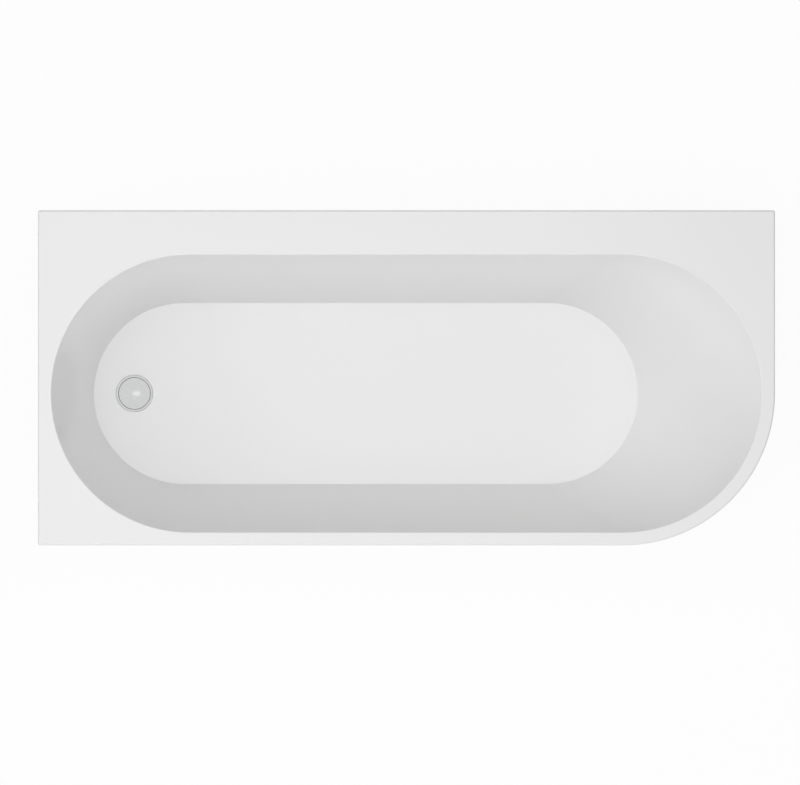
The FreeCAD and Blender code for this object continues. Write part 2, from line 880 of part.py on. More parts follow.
def waste_cap():
    edge_z = flange_top + cap_edge_height
    crown_z = edge_z + cap_dome_rise
    sphere_radius = (cap_radius ** 2 + cap_dome_rise ** 2) / (2 * cap_dome_rise)
    ball = Part.makeSphere(sphere_radius, Vector(waste_x, waste_y, crown_z - sphere_radius))
    disc = cylinder(waste_x, waste_y, cap_under, crown_z + overrun, cap_radius).common(ball)
    brim = [e for e in disc.Edges
            if not e.Degenerated and e.BoundBox.ZMin > flange_top
            and e.BoundBox.XLength > cap_radius]
    disc = disc.makeFillet(cap_edge_round, brim)
    boss = cylinder(waste_x, waste_y, cap_boss_bottom, cap_under, cap_boss_radius)
    cap = fused([disc, boss])
    return cap.cut(cylinder(waste_x, waste_y, cap_boss_bottom - overrun, plunger_top,
                            plunger_radius + thread_gap))


def cap_seal():
    bottom = flange_top - flange_dish_depth + cap_seal_gap
    return ring(waste_x, waste_y, bottom, cap_under,
                flange_dish_radius - cap_seal_edge_gap, cap_seal_inner_radius)


def click_plunger():
    return cylinder(waste_x, waste_y, plunger_bottom, plunger_top, plunger_radius)


def click_cartridge():
    head = cylinder(waste_x, waste_y, spider_top, cartridge_top, cartridge_radius)
    shank = cylinder(waste_x, waste_y, cartridge_bottom, spider_top, cartridge_shank_radius)
    body = fused([head, shank])
    return body.cut(cylinder(waste_x, waste_y, cartridge_bottom + cartridge_end_wall,
                             cartridge_top + overrun, cartridge_bore_radius))


def click_spring():
    """The coil under the plunger, between it and the cartridge's blind end."""
    margin = spring_end_gap + spring_wire_radius
    bottom = cartridge_bottom + cartridge_end_wall + margin
    height = plunger_bottom - margin - bottom
    helix = Part.makeHelix(height / spring_turns, height, spring_coil_radius)
    start = Vector(spring_coil_radius, 0, 0)
    section = Part.Wire(Part.makeCircle(spring_wire_radius, start, Y_AXIS))
    coil = Part.Wire(helix.Edges).makePipeShell([section], True, True)
    return coil.translated(Vector(waste_x, waste_y, bottom))


# The trap

def bend(radius, y, z, bend_radius, angle):
    """A round bar turned about an axis along X, from upright at (y, z)."""
    circle = Part.makeCircle(radius, Vector(waste_x, y, z), Z_AXIS)
    face = Part.Face(Part.Wire(circle))
    return face.revolve(Vector(waste_x, y + bend_radius, z), X_AXIS, angle)


def trap_run(radius, inlet_top):
    """The inlet leg, the lower bend, the elbow and the outlet as one bar."""
    return fused([
        cylinder(waste_x, waste_y, trap_bend_z, inlet_top, radius),
        bend(radius, waste_y, trap_bend_z, trap_bend_radius, 180),
        bend(radius, trap_elbow_y, trap_bend_z, trap_bend_radius, -90),
        lying_cylinder(waste_x, trap_outlet_z, trap_socket_y,
                       trap_socket_y + trap_pipe_wall, radius),
    ])


def trap_body():
    bore = trap_pipe_radius - trap_pipe_wall
    outer = trap_run(trap_pipe_radius, trap_collar_top)
    collar = cylinder(waste_x, waste_y, trap_collar_bottom, trap_collar_top, waste_tail_radius)
    socket = lying_cylinder(waste_x, trap_outlet_z, trap_socket_y, trap_mouth_y, socket_radius)
    neck = cylinder(waste_x, trap_low_y, trap_low_z - cleaning_neck_height,
                    trap_low_z + trap_pipe_radius, cleaning_neck_radius)
    body = fused([outer, collar, socket, neck])
    passage = trap_run(bore, trap_collar_top + overrun)
    mouth = lying_cylinder(waste_x, trap_outlet_z, trap_socket_y + trap_pipe_wall,
                           trap_mouth_y + overrun, socket_bore_radius)
    drain = cylinder(waste_x, trap_low_y, trap_low_z - cleaning_neck_height - overrun,
                     trap_low_z + trap_pipe_radius, cleaning_neck_radius - trap_pipe_wall)
    return cut_all(body, [passage, mouth, drain])


def ribbed(nut, places, z0, z1):
    """A nut with round grip ribs standing on its side."""
    ribs = [cylinder(x, y, z0, z1, nut_rib_radius) for x, y in places]
    return fused([nut] + ribs)


def trap_inlet_nut():
    top = tail_bottom + union_nut_grip
    shoulder = trap_collar_bottom - bond_gap
    bottom = shoulder - union_nut_floor
    outer = cylinder(waste_x, waste_y, bottom, top, union_nut_radius)
    turns = [2 * math.pi * i / nut_rib_count for i in range(nut_rib_count)]
    places = [
        (waste_x + union_nut_radius * math.cos(t), waste_y + union_nut_radius * math.sin(t))
        for t in turns
    ]
    outer = ribbed(outer, places, bottom, top)
    thread = cylinder(waste_x, waste_y, shoulder, top + overrun, waste_tail_radius + thread_gap)
    hole = cylinder(waste_x, waste_y, bottom - overrun, top, trap_pipe_radius + outlet_bore_gap)
    return cut_all(outer, [thread, hole])


def trap_inlet_washer():
    return ring(waste_x, waste_y, trap_collar_top, tail_bottom,
                waste_tail_radius, trap_pipe_radius - trap_pipe_wall)


def outlet_ring(y0, y1, outer, inner):
    bore = lying_cylinder(waste_x, trap_outlet_z, y0 - overrun, y1 + overrun, inner)
    return lying_cylinder(waste_x, trap_outlet_z, y0, y1, outer).cut(bore)


def trap_outlet_nut():
    """A nut over the socket's mouth, its lip holding the seal ring in."""
    end = trap_mouth_y + outlet_seal_thickness + outlet_nut_lip
    start = end - outlet_nut_length
    ribs = []
    for i in range(nut_rib_count):
        turn = 2 * math.pi * i / nut_rib_count
        place = Vector(waste_x + outlet_nut_radius * math.cos(turn), start,
                       trap_outlet_z + outlet_nut_radius * math.sin(turn))
        ribs.append(Part.makeCylinder(nut_rib_radius, outlet_nut_length, place, Y_AXIS))
    solid = fused([lying_cylinder(waste_x, trap_outlet_z, start, end, outlet_nut_radius)] + ribs)
    thread = lying_cylinder(waste_x, trap_outlet_z, start - overrun,
                            trap_mouth_y + outlet_seal_thickness, socket_radius + thread_gap)
    hole = lying_cylinder(waste_x, trap_outlet_z, start, end + overrun,
                          socket_bore_radius + outlet_bore_gap)
    return cut_all(solid, [thread, hole])


def trap_outlet_seal():
    return outlet_ring(trap_mouth_y, trap_mouth_y + outlet_seal_thickness,
                       socket_radius, socket_bore_radius + outlet_bore_gap)


def trap_cleaning_cap():
    neck_bottom = trap_low_z - cleaning_neck_height
    bottom = neck_bottom - trap_pipe_wall
    cap = cylinder(waste_x, trap_low_y, bottom, bottom + cleaning_cap_height, cleaning_cap_radius)
    return cap.cut(cylinder(waste_x, trap_low_y, neck_bottom, bottom + bath_height,
                            cleaning_neck_radius + thread_gap))


# Assembly: every node by name

def all_nodes():
    rail_bases, rib_bases = tie_screw_bases()
    down = Z_AXIS * -1
    rail_bite = tie_thickness + tube_wall + screw_bite / 2
    rib_bite = tie_thickness + screw_bite
    rail_screws = [screw(base, down, rail_bite) for base in rail_bases]
    rib_screws = [screw(base, down, rib_bite) for base in rib_bases]
    rail_holes = [screw_hole(base, down, rail_bite) for base in rail_bases]
    rib_holes = [screw_hole(base, down, rib_bite) for base in rib_bases]
    board_bases = board_screw_bases()
    board_bite = tube_size + screw_bite
    board_holes = [screw_hole(base, Z_AXIS, board_bite) for base in board_bases]
    brackets, bracket_screws, plate_holes = wall_fixings()

    nodes = {
        "tub_shell": tub_shell(),
        "laminate_backing": laminate_backing(),
        "base_board": base_board(board_holes),
        "deck_plate_back": deck_plate_back(plate_holes),
        "apron_panel": apron_panel(),
        "panel_keeper_strip": panel_keeper_strip(),
        "panel_lower_rib": panel_lower_rib(rib_holes),
        "panel_tie_plates": Part.makeCompound(panel_tie_plates(rail_holes + rib_holes)),
        "tie_screws": Part.makeCompound(rail_screws + rib_screws),
        "rail_end_plugs": Part.makeCompound(rail_end_plugs()),
        "board_screws": Part.makeCompound(
            [screw(base, Z_AXIS, board_bite) for base in board_bases]),
        "foot_weld_nuts": Part.makeCompound(
            foot_nuts(frame_bottom - weld_nut_height, frame_bottom)),
        "foot_lock_nuts": Part.makeCompound(
            foot_nuts(frame_bottom - weld_nut_height - lock_nut_height,
                      frame_bottom - weld_nut_height)),
        "wall_brackets": Part.makeCompound(brackets),
        "wall_bracket_screws": Part.makeCompound(bracket_screws),
        "waste_flange": waste_flange(),
        "waste_flange_gasket": waste_flange_gasket(),
        "waste_lower_gasket": waste_lower_gasket(),
        "waste_back_nut": waste_back_nut(),
        "waste_cap": waste_cap(),
        "cap_seal": cap_seal(),
        "click_plunger": click_plunger(),
        "click_cartridge": click_cartridge(),
        "click_spring": click_spring(),
        "trap_body": trap_body(),
        "trap_inlet_nut": trap_inlet_nut(),
        "trap_inlet_washer": trap_inlet_washer(),
        "trap_outlet_nut": trap_outlet_nut(),
        "trap_outlet_seal": trap_outlet_seal(),
        "trap_cleaning_cap": trap_cleaning_cap(),
    }
    nodes.update(corner_plates(plate_holes))
    nodes.update(frame_pieces(rail_holes + board_holes + foot_holes()))
    for name, (x, y) in foot_places.items():
        nodes["foot_stem_" + name] = foot_stem(x, y)
        nodes["foot_pad_" + name] = foot_pad(x, y)
    return nodes


def main():
    os.makedirs("parts", exist_ok=True)
    for name, shape in all_nodes().items():
        shape.exportStep(os.path.join("parts", name + ".step"))
        print(name, "solids", len(shape.Solids), "valid", shape.isValid(),
              "litres", round(shape.Volume / cubic_millimetres_in_litre, 4))


main()
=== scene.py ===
import json
import math

import bmesh
import bpy
from bpy.props import FloatProperty, FloatVectorProperty, IntProperty, PointerProperty
from mathutils import Matrix, Vector, noise

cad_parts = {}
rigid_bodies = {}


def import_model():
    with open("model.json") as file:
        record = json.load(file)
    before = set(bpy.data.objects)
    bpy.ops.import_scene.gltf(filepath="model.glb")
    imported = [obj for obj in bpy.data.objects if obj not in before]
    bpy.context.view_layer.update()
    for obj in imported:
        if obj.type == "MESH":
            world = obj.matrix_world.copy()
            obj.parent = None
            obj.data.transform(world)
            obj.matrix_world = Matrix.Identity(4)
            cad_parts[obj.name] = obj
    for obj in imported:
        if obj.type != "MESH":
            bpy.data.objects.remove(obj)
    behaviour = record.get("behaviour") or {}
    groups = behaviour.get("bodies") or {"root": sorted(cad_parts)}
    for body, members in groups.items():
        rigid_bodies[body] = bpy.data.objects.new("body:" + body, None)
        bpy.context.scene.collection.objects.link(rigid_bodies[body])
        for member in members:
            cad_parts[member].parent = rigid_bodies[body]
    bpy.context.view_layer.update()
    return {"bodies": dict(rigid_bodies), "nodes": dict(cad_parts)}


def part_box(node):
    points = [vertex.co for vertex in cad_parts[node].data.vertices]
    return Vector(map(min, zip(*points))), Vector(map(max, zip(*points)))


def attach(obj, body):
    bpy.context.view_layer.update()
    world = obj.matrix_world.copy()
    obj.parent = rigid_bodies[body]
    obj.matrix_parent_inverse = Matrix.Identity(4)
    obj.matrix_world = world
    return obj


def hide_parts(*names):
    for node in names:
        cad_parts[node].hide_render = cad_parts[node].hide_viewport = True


bl_info = {
    "name": "Corner Bath",
    "version": (1, 0, 0),
    "blender": (4, 5, 0),
    "location": "View3D > Sidebar > Bath",
    "description": "Dresses the construction of a corner bath and lights it for a plan view",
    "category": "Object",
}

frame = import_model()


def nodes_named(start):
    return sorted(name for name in frame["nodes"] if name.startswith(start))


# Places, in metres, and names read from the construction
shell_low, shell_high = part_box("tub_shell")
laminate_low, laminate_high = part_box("laminate_backing")
apron_low, apron_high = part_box("apron_panel")
flange_low, flange_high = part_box("waste_flange")
cap_low, cap_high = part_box("waste_cap")
waste_centre = (flange_low + flange_high) / 2
foot_names = [name.removeprefix("foot_pad_") for name in nodes_named("foot_pad_")]
foot_boxes = {name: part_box("foot_pad_" + name) for name in foot_names}
foot_centres = {name: (low + high) / 2 for name, (low, high) in foot_boxes.items()}
cross_names = nodes_named("frame_cross_")

QUARTER = math.pi / 2
UP = Vector((0.0, 0.0, 1.0))

# How finely the curves are cut
ARC_STEPS = 96
LINE_STEPS = 32
WALL_STEPS = 12
ROUND_STEPS = 6
BREAK_STEPS = 2
CORNER_STEPS = 8
CIRCLE_STEPS = 96
STEM_STEPS = 48
THREAD_STEPS = 32
DOME_STEPS = 16
BEAD_SIDES = 10
RIPPLE_STEPS = 4
SHELL_CUTS = (LINE_STEPS, ARC_STEPS)
LAMINATE_CUTS = (110, 110)
LAMINATE_WALL_STEPS = 44

# Angles past which an edge stays sharp, and how far large faces lead the shading
CREASE = math.radians(35)
NUT_CREASE = math.radians(25)
BEAD_CREASE = math.radians(60)
NODE_CREASE = math.radians(28)
FACE_WEIGHT = 90

# Points of a construction mesh that are nearer than this are one point
WELD_DISTANCE = 0.000005

# The least radius of an outline's inner corner
LEAST_ROUND = 0.0002

# A nut's chamfer, its flat face as a share of the flats, and its bore's mouth as a share of the bore
NUT_CHAMFER = math.radians(30)
NUT_FACE_SHARE = 0.97
NUT_MOUTH_SHARE = 1.08

# Where a thread's root ends, its crest starts and ends and its root starts again, in pitches
ROOT_END_SHARE = 0.12
CREST_START_SHARE = 0.44
CREST_END_SHARE = 0.56
ROOT_START_SHARE = 0.88

# Plain length at the end of a levelling screw, and the round of its foot
STEM_END = 0.001

# Height of a pad's shoulder, as a share of the way from its rim to its neck's base
PAD_SHOULDER_SHARE = 0.45

# Shares of a weld bead's radius: between ripples, at an open end and gained at each point from there
BEAD_TROUGH_SHARE = 0.86
BEAD_END_SHARE = 0.25
BEAD_SWELL_SHARE = 0.3

# Level beads and the nuts' beads are slimmer than upright ones; beads stop short of a tube's corners
LEVEL_BEAD_SHARE = 0.6
NUT_BEAD_SHARE = 0.8
TUBE_CORNER_SHARE = 0.1

# The laminate's lumps: how many in a metre, how finer ones follow on, their middle and deepest hollow
LUMP_SCALE = 38.0
LUMP_OCTAVES = 4
LUMP_FADE = 0.9
LUMP_LACUNARITY = 2.1
LUMP_MIDDLE = 0.5
LUMP_LEAST = -0.8

# The camera's clipping as shares of its distance, and the gap between shading nodes in the editor
CLIP_START_SHARE = 0.1
CLIP_END_SHARE = 2.0
NODE_STEP = 220.0


# Properties

def length(name, description, default):
    return FloatProperty(name=name, description=description, default=default, min=0.0,
                         precision=4, unit="LENGTH")


def place(name, description, default):
    return FloatProperty(name=name, description=description, default=default, precision=4, unit="LENGTH")


def power(name, description, default):
    return FloatProperty(name=name, description=description, default=default, min=0.0, unit="POWER")


def share(name, description, default):
    return FloatProperty(name=name, description=description, default=default, min=0.0, max=1.0,
                         subtype="FACTOR")


def tint(name, description, default):
    return FloatVectorProperty(name=name, description=description, default=default, size=3,
                               min=0.0, max=1.0, subtype="COLOR")


class BathShellSizes(bpy.types.PropertyGroup):
    rim_width: length("Rim width", "Flat rim along the front and both ends", 0.029)
    deck_width: length("Deck width", "Flat deck along the back wall", 0.099)
    lip_depth: length("Lip depth", "Height of the rim's turned-down lip", 0.022)
    sheet: length("Sheet", "Thickness of the moulded sheet", 0.005)
    rim_round: length("Rim round", "Radius of the rim's outer edge", 0.004)
    lip_round: length("Lip round", "Radius of the lip's lower edge", 0.001)
    corner_round: length("Corner round", "Radius of the three square corners in plan", 0.005)
    basin_round: length("Basin round", "Radius where the rim turns down into the basin", 0.0025)
    side_run: length("Side run", "How far the long walls lean in", 0.107)
    waste_end_run: length("Waste end run", "How far the waste end leans in", 0.092)
    back_rest_run: length("Back rest run", "How far the back rest leans in", 0.275)
    floor_height: length("Floor height", "Height of the basin's floor at the waste", 0.150)
    floor_round: length("Floor round", "Radius between the walls and the floor", 0.002)
    floor_fall: length("Floor fall", "Drop of the floor from the back rest to the waste", 0.008)
    recess_gap: length("Recess gap", "Gap round the waste's flange", 0.0001)
    recess_depth: length("Recess depth", "Depth of the recess for the waste", 0.009)
    recess_round: length("Recess round", "Radius of the recess's upper edge", 0.0002)
    drain_radius: length("Drain radius", "Radius of the hole for the waste's tail", 0.025)
    laminate: length("Laminate", "Thickness of the glass-fibre backing", 0.004)
    bond: length("Bond", "Bond line between the shell and its backing", 0.0003)
    laminate_round: length("Laminate round", "Radius of the backing's lower edge", 0.010)
    laminate_lumps: length("Laminate lumps", "Height of the hand-rolled unevenness", 0.0009)


class BathPartSizes(bpy.types.PropertyGroup):
    panel_sheet: length("Panel sheet", "Thickness of the apron panel", 0.005)
    panel_round: length("Panel round", "Radius of the panel's lower outer edge", 0.004)
    panel_top_round: length("Panel top round", "Radius of the panel's upper edge", 0.0015)
    panel_flange: length("Panel flange", "Width of the flange along the floor", 0.025)
    panel_return: length("Panel return", "Width of the stiffening returns at the panel's ends", 0.024)
    panel_return_drop: length("Return drop", "How far the returns stop below the lip", 0.030)
    keeper_sheet: length("Keeper sheet", "Thickness of the strip behind the panel's top edge", 0.006)
    rib_width: length("Rib width", "Width of the rib inside the panel", 0.040)
    edge_break: length("Edge break", "Broken edges of sawn and moulded strips", 0.0008)
    tube: length("Tube", "Outer width of the frame's square tube", 0.030)
    bead: length("Weld bead", "Half width of a weld bead", 0.0022)
    bead_ripple: length("Weld ripple", "Spacing of the ripples along a weld bead", 0.0022)
    pitch: length("Thread pitch", "Pitch of the levelling screws", 0.00175)
    thread_depth: length("Thread depth", "Depth of the levelling screws' thread", 0.00095)
    stem_radius: length("Stem radius", "Radius of the levelling screws", 0.006)
    collar_flats: length("Collar flats", "Width across flats of the stem's collar", 0.017)
    collar_gap: length("Collar gap", "Gap between the pad and the stem's collar", 0.004)
    collar_height: length("Collar height", "Height of the stem's collar", 0.008)
    nut_flats: length("Nut flats", "Width across flats of the weld and lock nuts", 0.019)
    nut_bore_gap: length("Nut bore gap", "Clearance between stem and nut", 0.00006)
    pad_rim: length("Pad rim", "Height of the pad's rim", 0.006)
    pad_neck: length("Pad neck", "Radius of the pad's neck", 0.012)
    pad_neck_round: length("Neck round", "Radius at the foot of the pad's neck", 0.0045)
    pad_socket: length("Pad socket", "Radius of the pad's socket", 0.0063)
    pad_play: length("Pad play", "Play under the stem's end in its socket", 0.0001)
    pad_round: length("Pad round", "Radius of the edges of the pad's rim", 0.0015)
    pad_top_round: length("Pad top round", "Radius of the neck's upper edge", 0.00075)
    pad_mouth_round: length("Pad mouth round", "Radius of the socket's mouth", 0.0005)
    pad_gusset: length("Pad gusset", "Thickness of the pad's gussets", 0.0022)
    gusset_inset: length("Gusset inset", "How far the gussets stop short of the pad's edge", 0.003)
    gusset_step: length("Gusset step", "Height of a gusset's outer end above the pad's rim", 0.00075)
    gusset_climb: length("Gusset climb", "How far the gussets climb the neck", 0.003)
    pad_gussets: IntProperty(name="Pad gussets", description="Gussets round each pad", default=8)
    cap_dome: length("Cap dome", "Rise of the waste cap's dome", 0.0024)
    cap_round: length("Cap round", "Radius of the waste cap's edge", 0.0009)
    cap_under_round: length("Cap under round", "Radius of the waste cap's lower edge", 0.000225)
    cap_sheet: length("Cap sheet", "Height of the waste cap's edge", 0.0032)
    cap_boss: length("Cap boss", "Radius of the boss under the waste cap", 0.007)
    cap_boss_round: length("Cap boss round", "Radius of the boss's lower edge", 0.0003)
    cap_bore: length("Cap bore", "Radius of the bore for the plunger", 0.00355)
    cap_bore_seat: length("Bore seat", "Depth of the bore above the boss", 0.002)


class BathFinishes(bpy.types.PropertyGroup):
    acrylic: tint("Acrylic", "Gloss white of the shell and the panel", (0.83, 0.83, 0.83))
    resin: tint("Resin", "Cured resin of the backing", (0.66, 0.655, 0.58))
    strand: tint("Strand", "Glass strands in the backing", (0.82, 0.815, 0.765))
    ply_light: tint("Ply, light", "Pale grain of the plywood", (0.64, 0.47, 0.28))
    ply_dark: tint("Ply, dark", "Dark grain of the plywood", (0.42, 0.275, 0.145))
    coat: tint("Frame coat", "Baked coat of the frame", (0.085, 0.09, 0.097))
    zinc: tint("Zinc", "Zinc plate of screws and brackets", (0.63, 0.64, 0.655))
    nylon: tint("Nylon", "Black pads and plugs", (0.022, 0.022, 0.023))
    chrome: tint("Chrome", "Bright plate of the waste", (0.62, 0.622, 0.625))
    brass: tint("Brass", "Bare turned brass", (0.66, 0.50, 0.235))
    rubber: tint("Rubber", "Black gaskets and seals", (0.028, 0.028, 0.028))
    plastic: tint("Plastic", "White moulded pipe and nuts", (0.79, 0.79, 0.775))


class BathStage(bpy.types.PropertyGroup):
    lens: FloatProperty(name="Lens", description="Focal length; long, for a plan view",
                        default=1500.0, unit="CAMERA")
    sensor: FloatProperty(name="Sensor", description="Width of the camera's sensor",
                          default=36.0, unit="CAMERA")
    picture_width: length("Picture width", "Width of the picture at the rim", 1.79104)
    aim_x: place("Aim X", "Picture's centre along the bath", -0.01455)
    aim_y: place("Aim Y", "Picture's centre across the bath", -0.03284)
    floor_size: length("Floor size", "Side of the square floor", 60.0)
    floor_colour: tint("Floor", "Pale floor", (0.88, 0.88, 0.88))
    floor_glow: share("Floor glow", "How much of the floor is seen as plain white", 0.95)
    sky: FloatProperty(name="Sky", description="Strength of the even light from all sides",
                       default=0.23, min=0.0)
    top_power: power("Top lamp", "Lamp over the middle of the bath", 73.0)
    key_power: power("Key lamp", "Large lamp overhead, to the left", 57.0)
    front_power: power("Front lamp", "Far lamp in front", 167.0)
    left_power: power("Left lamp", "Far lamp beyond the waste end", 40.0)
    right_power: power("Right lamp", "Far lamp beyond the back rest", 49.0)
    glint_power: power("Glint lamp", "Small lamp that the waste cap mirrors", 0.23)
    over_height: length("Overhead height", "Height of the top and key lamps", 4.5)
    top_size: length("Top size", "Side of the top lamp", 2.0)
    key_size: length("Key size", "Side of the key lamp", 4.0)
    key_x: place("Key X", "Place of the key lamp along the bath", -2.6)
    key_y: place("Key Y", "Place of the key lamp across the bath", -0.4)
    far_height: length("Far height", "Height of the front, left and right lamps", 4.6)
    far_size: length("Far size", "Side of the front, left and right lamps", 5.0)
    far_distance: length("Far distance", "How far off the front, left and right lamps stand", 8.0)
    right_y: place("Right Y", "Place of the right lamp across the bath", -2.0)
    glint_height: length("Glint height", "Height of the glint lamp", 5.0)
    glint_shift: place("Glint shift", "How far the glint lamp stands past the waste", 0.127)
    glint_width: length("Glint width", "Width of the glint lamp", 0.37)
    glint_depth: length("Glint depth", "Depth of the glint lamp", 0.68)


# Mesh helpers

def lay_ring(bm, points):
    return [bm.verts.new(p) for p in points]


def skin(bm, rings):
    """Quads between closed rings that have as many points each."""
    for first, second in zip(rings, rings[1:]):
        for i, corner in enumerate(first):
            j = (i + 1) % len(first)
            bm.faces.new((corner, first[j], second[j], second[i]))


def capped(bm, rings):
    """A closed form of rings of points, with a face at each end."""
    laid = [lay_ring(bm, ring) for ring in rings]
    skin(bm, laid)
    bm.faces.new(laid[0])
    bm.faces.new(list(reversed(laid[-1])))


def hoop(bm, rings):
    """A closed form of rings of points, the last joined to the first."""
    laid = [lay_ring(bm, ring) for ring in rings]
    skin(bm, laid + laid[:1])


def ring_edges(bm, ring):
    edges = []
    for i, corner in enumerate(ring):
        after = ring[(i + 1) % len(ring)]
        edges.append(bm.edges.get((corner, after)) or bm.edges.new((corner, after)))
    return edges


def fill_between(bm, outer, inner):
    """A flat face with a hole in it."""
    edges = ring_edges(bm, outer) + ring_edges(bm, inner)
    bmesh.ops.triangle_fill(bm, use_beauty=True, use_dissolve=False, edges=edges)


def angles(steps):
    return [2 * math.pi * i / steps for i in range(steps)]


def direction(angle):
    return Vector((math.cos(angle), math.sin(angle), 0.0))


def over(centre, z):
    """The point over or under a centre at a height."""
    return Vector((centre.x, centre.y, z))


def circle(centre, radius, z, steps=CIRCLE_STEPS):
    return [over(centre, z) + direction(angle) * radius for angle in angles(steps)]


def points_between(start, end, step):
    count = round((end - start).length / step)
    return [start.lerp(end, i / count) for i in range(count + 1)]


def corner_arc(corner, first, second, radius, steps=ROUND_STEPS):
    """Points of a round between two directions that leave a corner."""
    half = first.angle(second) / 2
    middle = (first + second).normalized()
    centre = corner + middle * (radius / math.sin(half))
    start = corner + first * (radius / math.tan(half)) - centre
    end = corner + second * (radius / math.tan(half)) - centre
    sweep = start.angle(end)
    points = []
    for i in range(steps + 1):
        ahead = sweep * i / steps
        mixed = start * math.sin(sweep - ahead) + end * math.sin(ahead)
        points.append(centre + mixed / math.sin(sweep))
    return points


def rounded_profile(corners, steps=ROUND_STEPS):
    """A closed outline of (r, z) points through (r, z, radius) corners."""
    points = [Vector((r, 0.0, z)) for r, z, radius in corners]
    outline = []
    for i, (r, z, radius) in enumerate(corners):
        if radius > 0:
            to_last = (points[i - 1] - points[i]).normalized()
            to_next = (points[(i + 1) % len(points)] - points[i]).normalized()
            outline.extend((p.x, p.z) for p in corner_arc(points[i], to_last, to_next, radius, steps))
        else:
            outline.append((r, z))
    return outline


def lathe(bm, centre, profile, steps=CIRCLE_STEPS):
    """Turns a closed (r, z) outline about an upright axis."""
    columns = []
    for r, z in profile:
        columns.append(lay_ring(bm, circle(centre, r, z, steps) if r > 0 else [over(centre, z)]))
    for first, second in zip(columns, columns[1:] + columns[:1]):
        if len(first) == len(second) == steps:
            skin(bm, [first, second])
        elif len(first) + len(second) > 2:
            tip, brim = sorted((first, second), key=len)
            for i, corner in enumerate(brim):
                bm.faces.new((corner, brim[(i + 1) % steps], tip[0]))


def sweep(bm, stations, section):
    """Carries a closed (inset, z) section along stations of (point, inward way)."""
    capped(bm, [[point + inward * inset + UP * z for inset, z in section] for point, inward in stations])


def rounded_box(bm, low, high, radius):
    middle, size = (low + high) / 2, high - low
    made = bmesh.ops.create_cube(bm, size=1.0, matrix=Matrix.LocRotScale(middle, None, size))
    edges = list({edge for vert in made["verts"] for edge in vert.link_edges})
    bmesh.ops.bevel(bm, geom=edges, offset=radius, segments=BREAK_STEPS, profile=0.5, affect="EDGES")


def hexagon_radius(angle, flats):
    """Reach of a hexagon at an angle from the middle of a flat."""
    sixth = math.pi / 3
    return flats / 2 / math.cos((angle + sixth / 2) % sixth - sixth / 2)


def hexagon_nut(bm, centre, low, high, flats, bore=0.0):
    """A nut whose corners are turned off, with or without a bore."""
    slope = math.tan(NUT_CHAMFER)
    face_radius = flats / 2 * NUT_FACE_SHARE

    def corner_ring(face, way):
        points = []
        for angle in angles(CIRCLE_STEPS):
            radius = hexagon_radius(angle + math.pi / 6, flats)
            z = face - way * (radius - face_radius) * slope
            points.append(over(centre, z) + direction(angle) * radius)
        return points

    rings = [circle(centre, face_radius, low), corner_ring(low, -1),
             corner_ring(high, 1), circle(centre, face_radius, high)]
    if bore > 0:
        mouth = bore * NUT_MOUTH_SHARE
        chamfer = mouth - bore
        hoop(bm, [circle(centre, bore, low + chamfer), circle(centre, mouth, low), *rings,
                  circle(centre, mouth, high), circle(centre, bore, high - chamfer)])
    else:
        capped(bm, rings)


def even_shading(piece):
    weights = piece.modifiers.new("Even shading", "WEIGHTED_NORMAL")
    weights.keep_sharp = True
    return weights


def put_piece(bm, name, finish, body, nodes=(), crease=CREASE):
    """Makes a piece of the mesh, smooth but for its creases, and rides it on a body."""
    bmesh.ops.recalc_face_normals(bm, faces=bm.faces[:])
    mesh = bpy.data.meshes.new(name)
    bm.to_mesh(mesh)
    bm.free()
    mesh.shade_smooth()
    mesh.set_sharp_from_angle(angle=crease)
    mesh.materials.append(finish_named(finish))
    piece = bpy.data.objects.new(name, mesh)
    bpy.context.scene.collection.objects.link(piece)
    even_shading(piece).weight = FACE_WEIGHT
    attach(piece, body)
    if nodes:
        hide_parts(*nodes)


def crease_tree():
    """Nodes that shade a construction piece smooth but for its creases."""
    name = "Smooth but for creases"
    if name in bpy.data.node_groups:
        return bpy.data.node_groups[name]
    tree = bpy.data.node_groups.new(name, "GeometryNodeTree")
    for way in ("INPUT", "OUTPUT"):
        tree.interface.new_socket("Geometry", in_out=way, socket_type="NodeSocketGeometry")
    kinds = {
        "in": "NodeGroupInput", "out": "NodeGroupOutput",
        "weld": "GeometryNodeMergeByDistance", "angle": "GeometryNodeInputMeshEdgeAngle",
        "sharp": "FunctionNodeCompare", "smooth": "GeometryNodeSetShadeSmooth",
        "crease": "GeometryNodeSetShadeSmooth",
    }
    nodes = {key: tree.nodes.new(kind) for key, kind in kinds.items()}
    nodes["sharp"].data_type = "FLOAT"
    nodes["sharp"].operation = "GREATER_THAN"
    nodes["smooth"].domain = "FACE"
    nodes["crease"].domain = "EDGE"
    set_inputs(nodes["weld"], Distance=WELD_DISTANCE)
    set_inputs(nodes["sharp"], B=NODE_CREASE)
    set_inputs(nodes["crease"], Shade_Smooth=False)
    for source, output, target, entry in (
        ("in", "Geometry", "weld", "Geometry"),
        ("weld", "Geometry", "smooth", "Geometry"),
        ("smooth", "Geometry", "crease", "Geometry"),
        ("angle", "Unsigned Angle", "sharp", "A"),
        ("sharp", "Result", "crease", "Selection"),
        ("crease", "Geometry", "out", "Geometry"),
    ):
        tree.links.new(nodes[source].outputs[output], nodes[target].inputs[entry])
    return tree


def dress(finish, *names):
    """Gives construction nodes a finish and smooth shading."""
    for name in names:
        node = frame["nodes"][name]
        for slot in node.material_slots:
            slot.material = finish_named(finish)
        shading = node.modifiers.new("Creases", "NODES")
        shading.node_group = crease_tree()
        even_shading(node)


# Finishes

def set_inputs(node, **values):
    """Sets a node's own input values; an underscore in a name stands for a space."""
    for name, value in values.items():
        node.inputs[name.replace("_", " ")].default_value = value


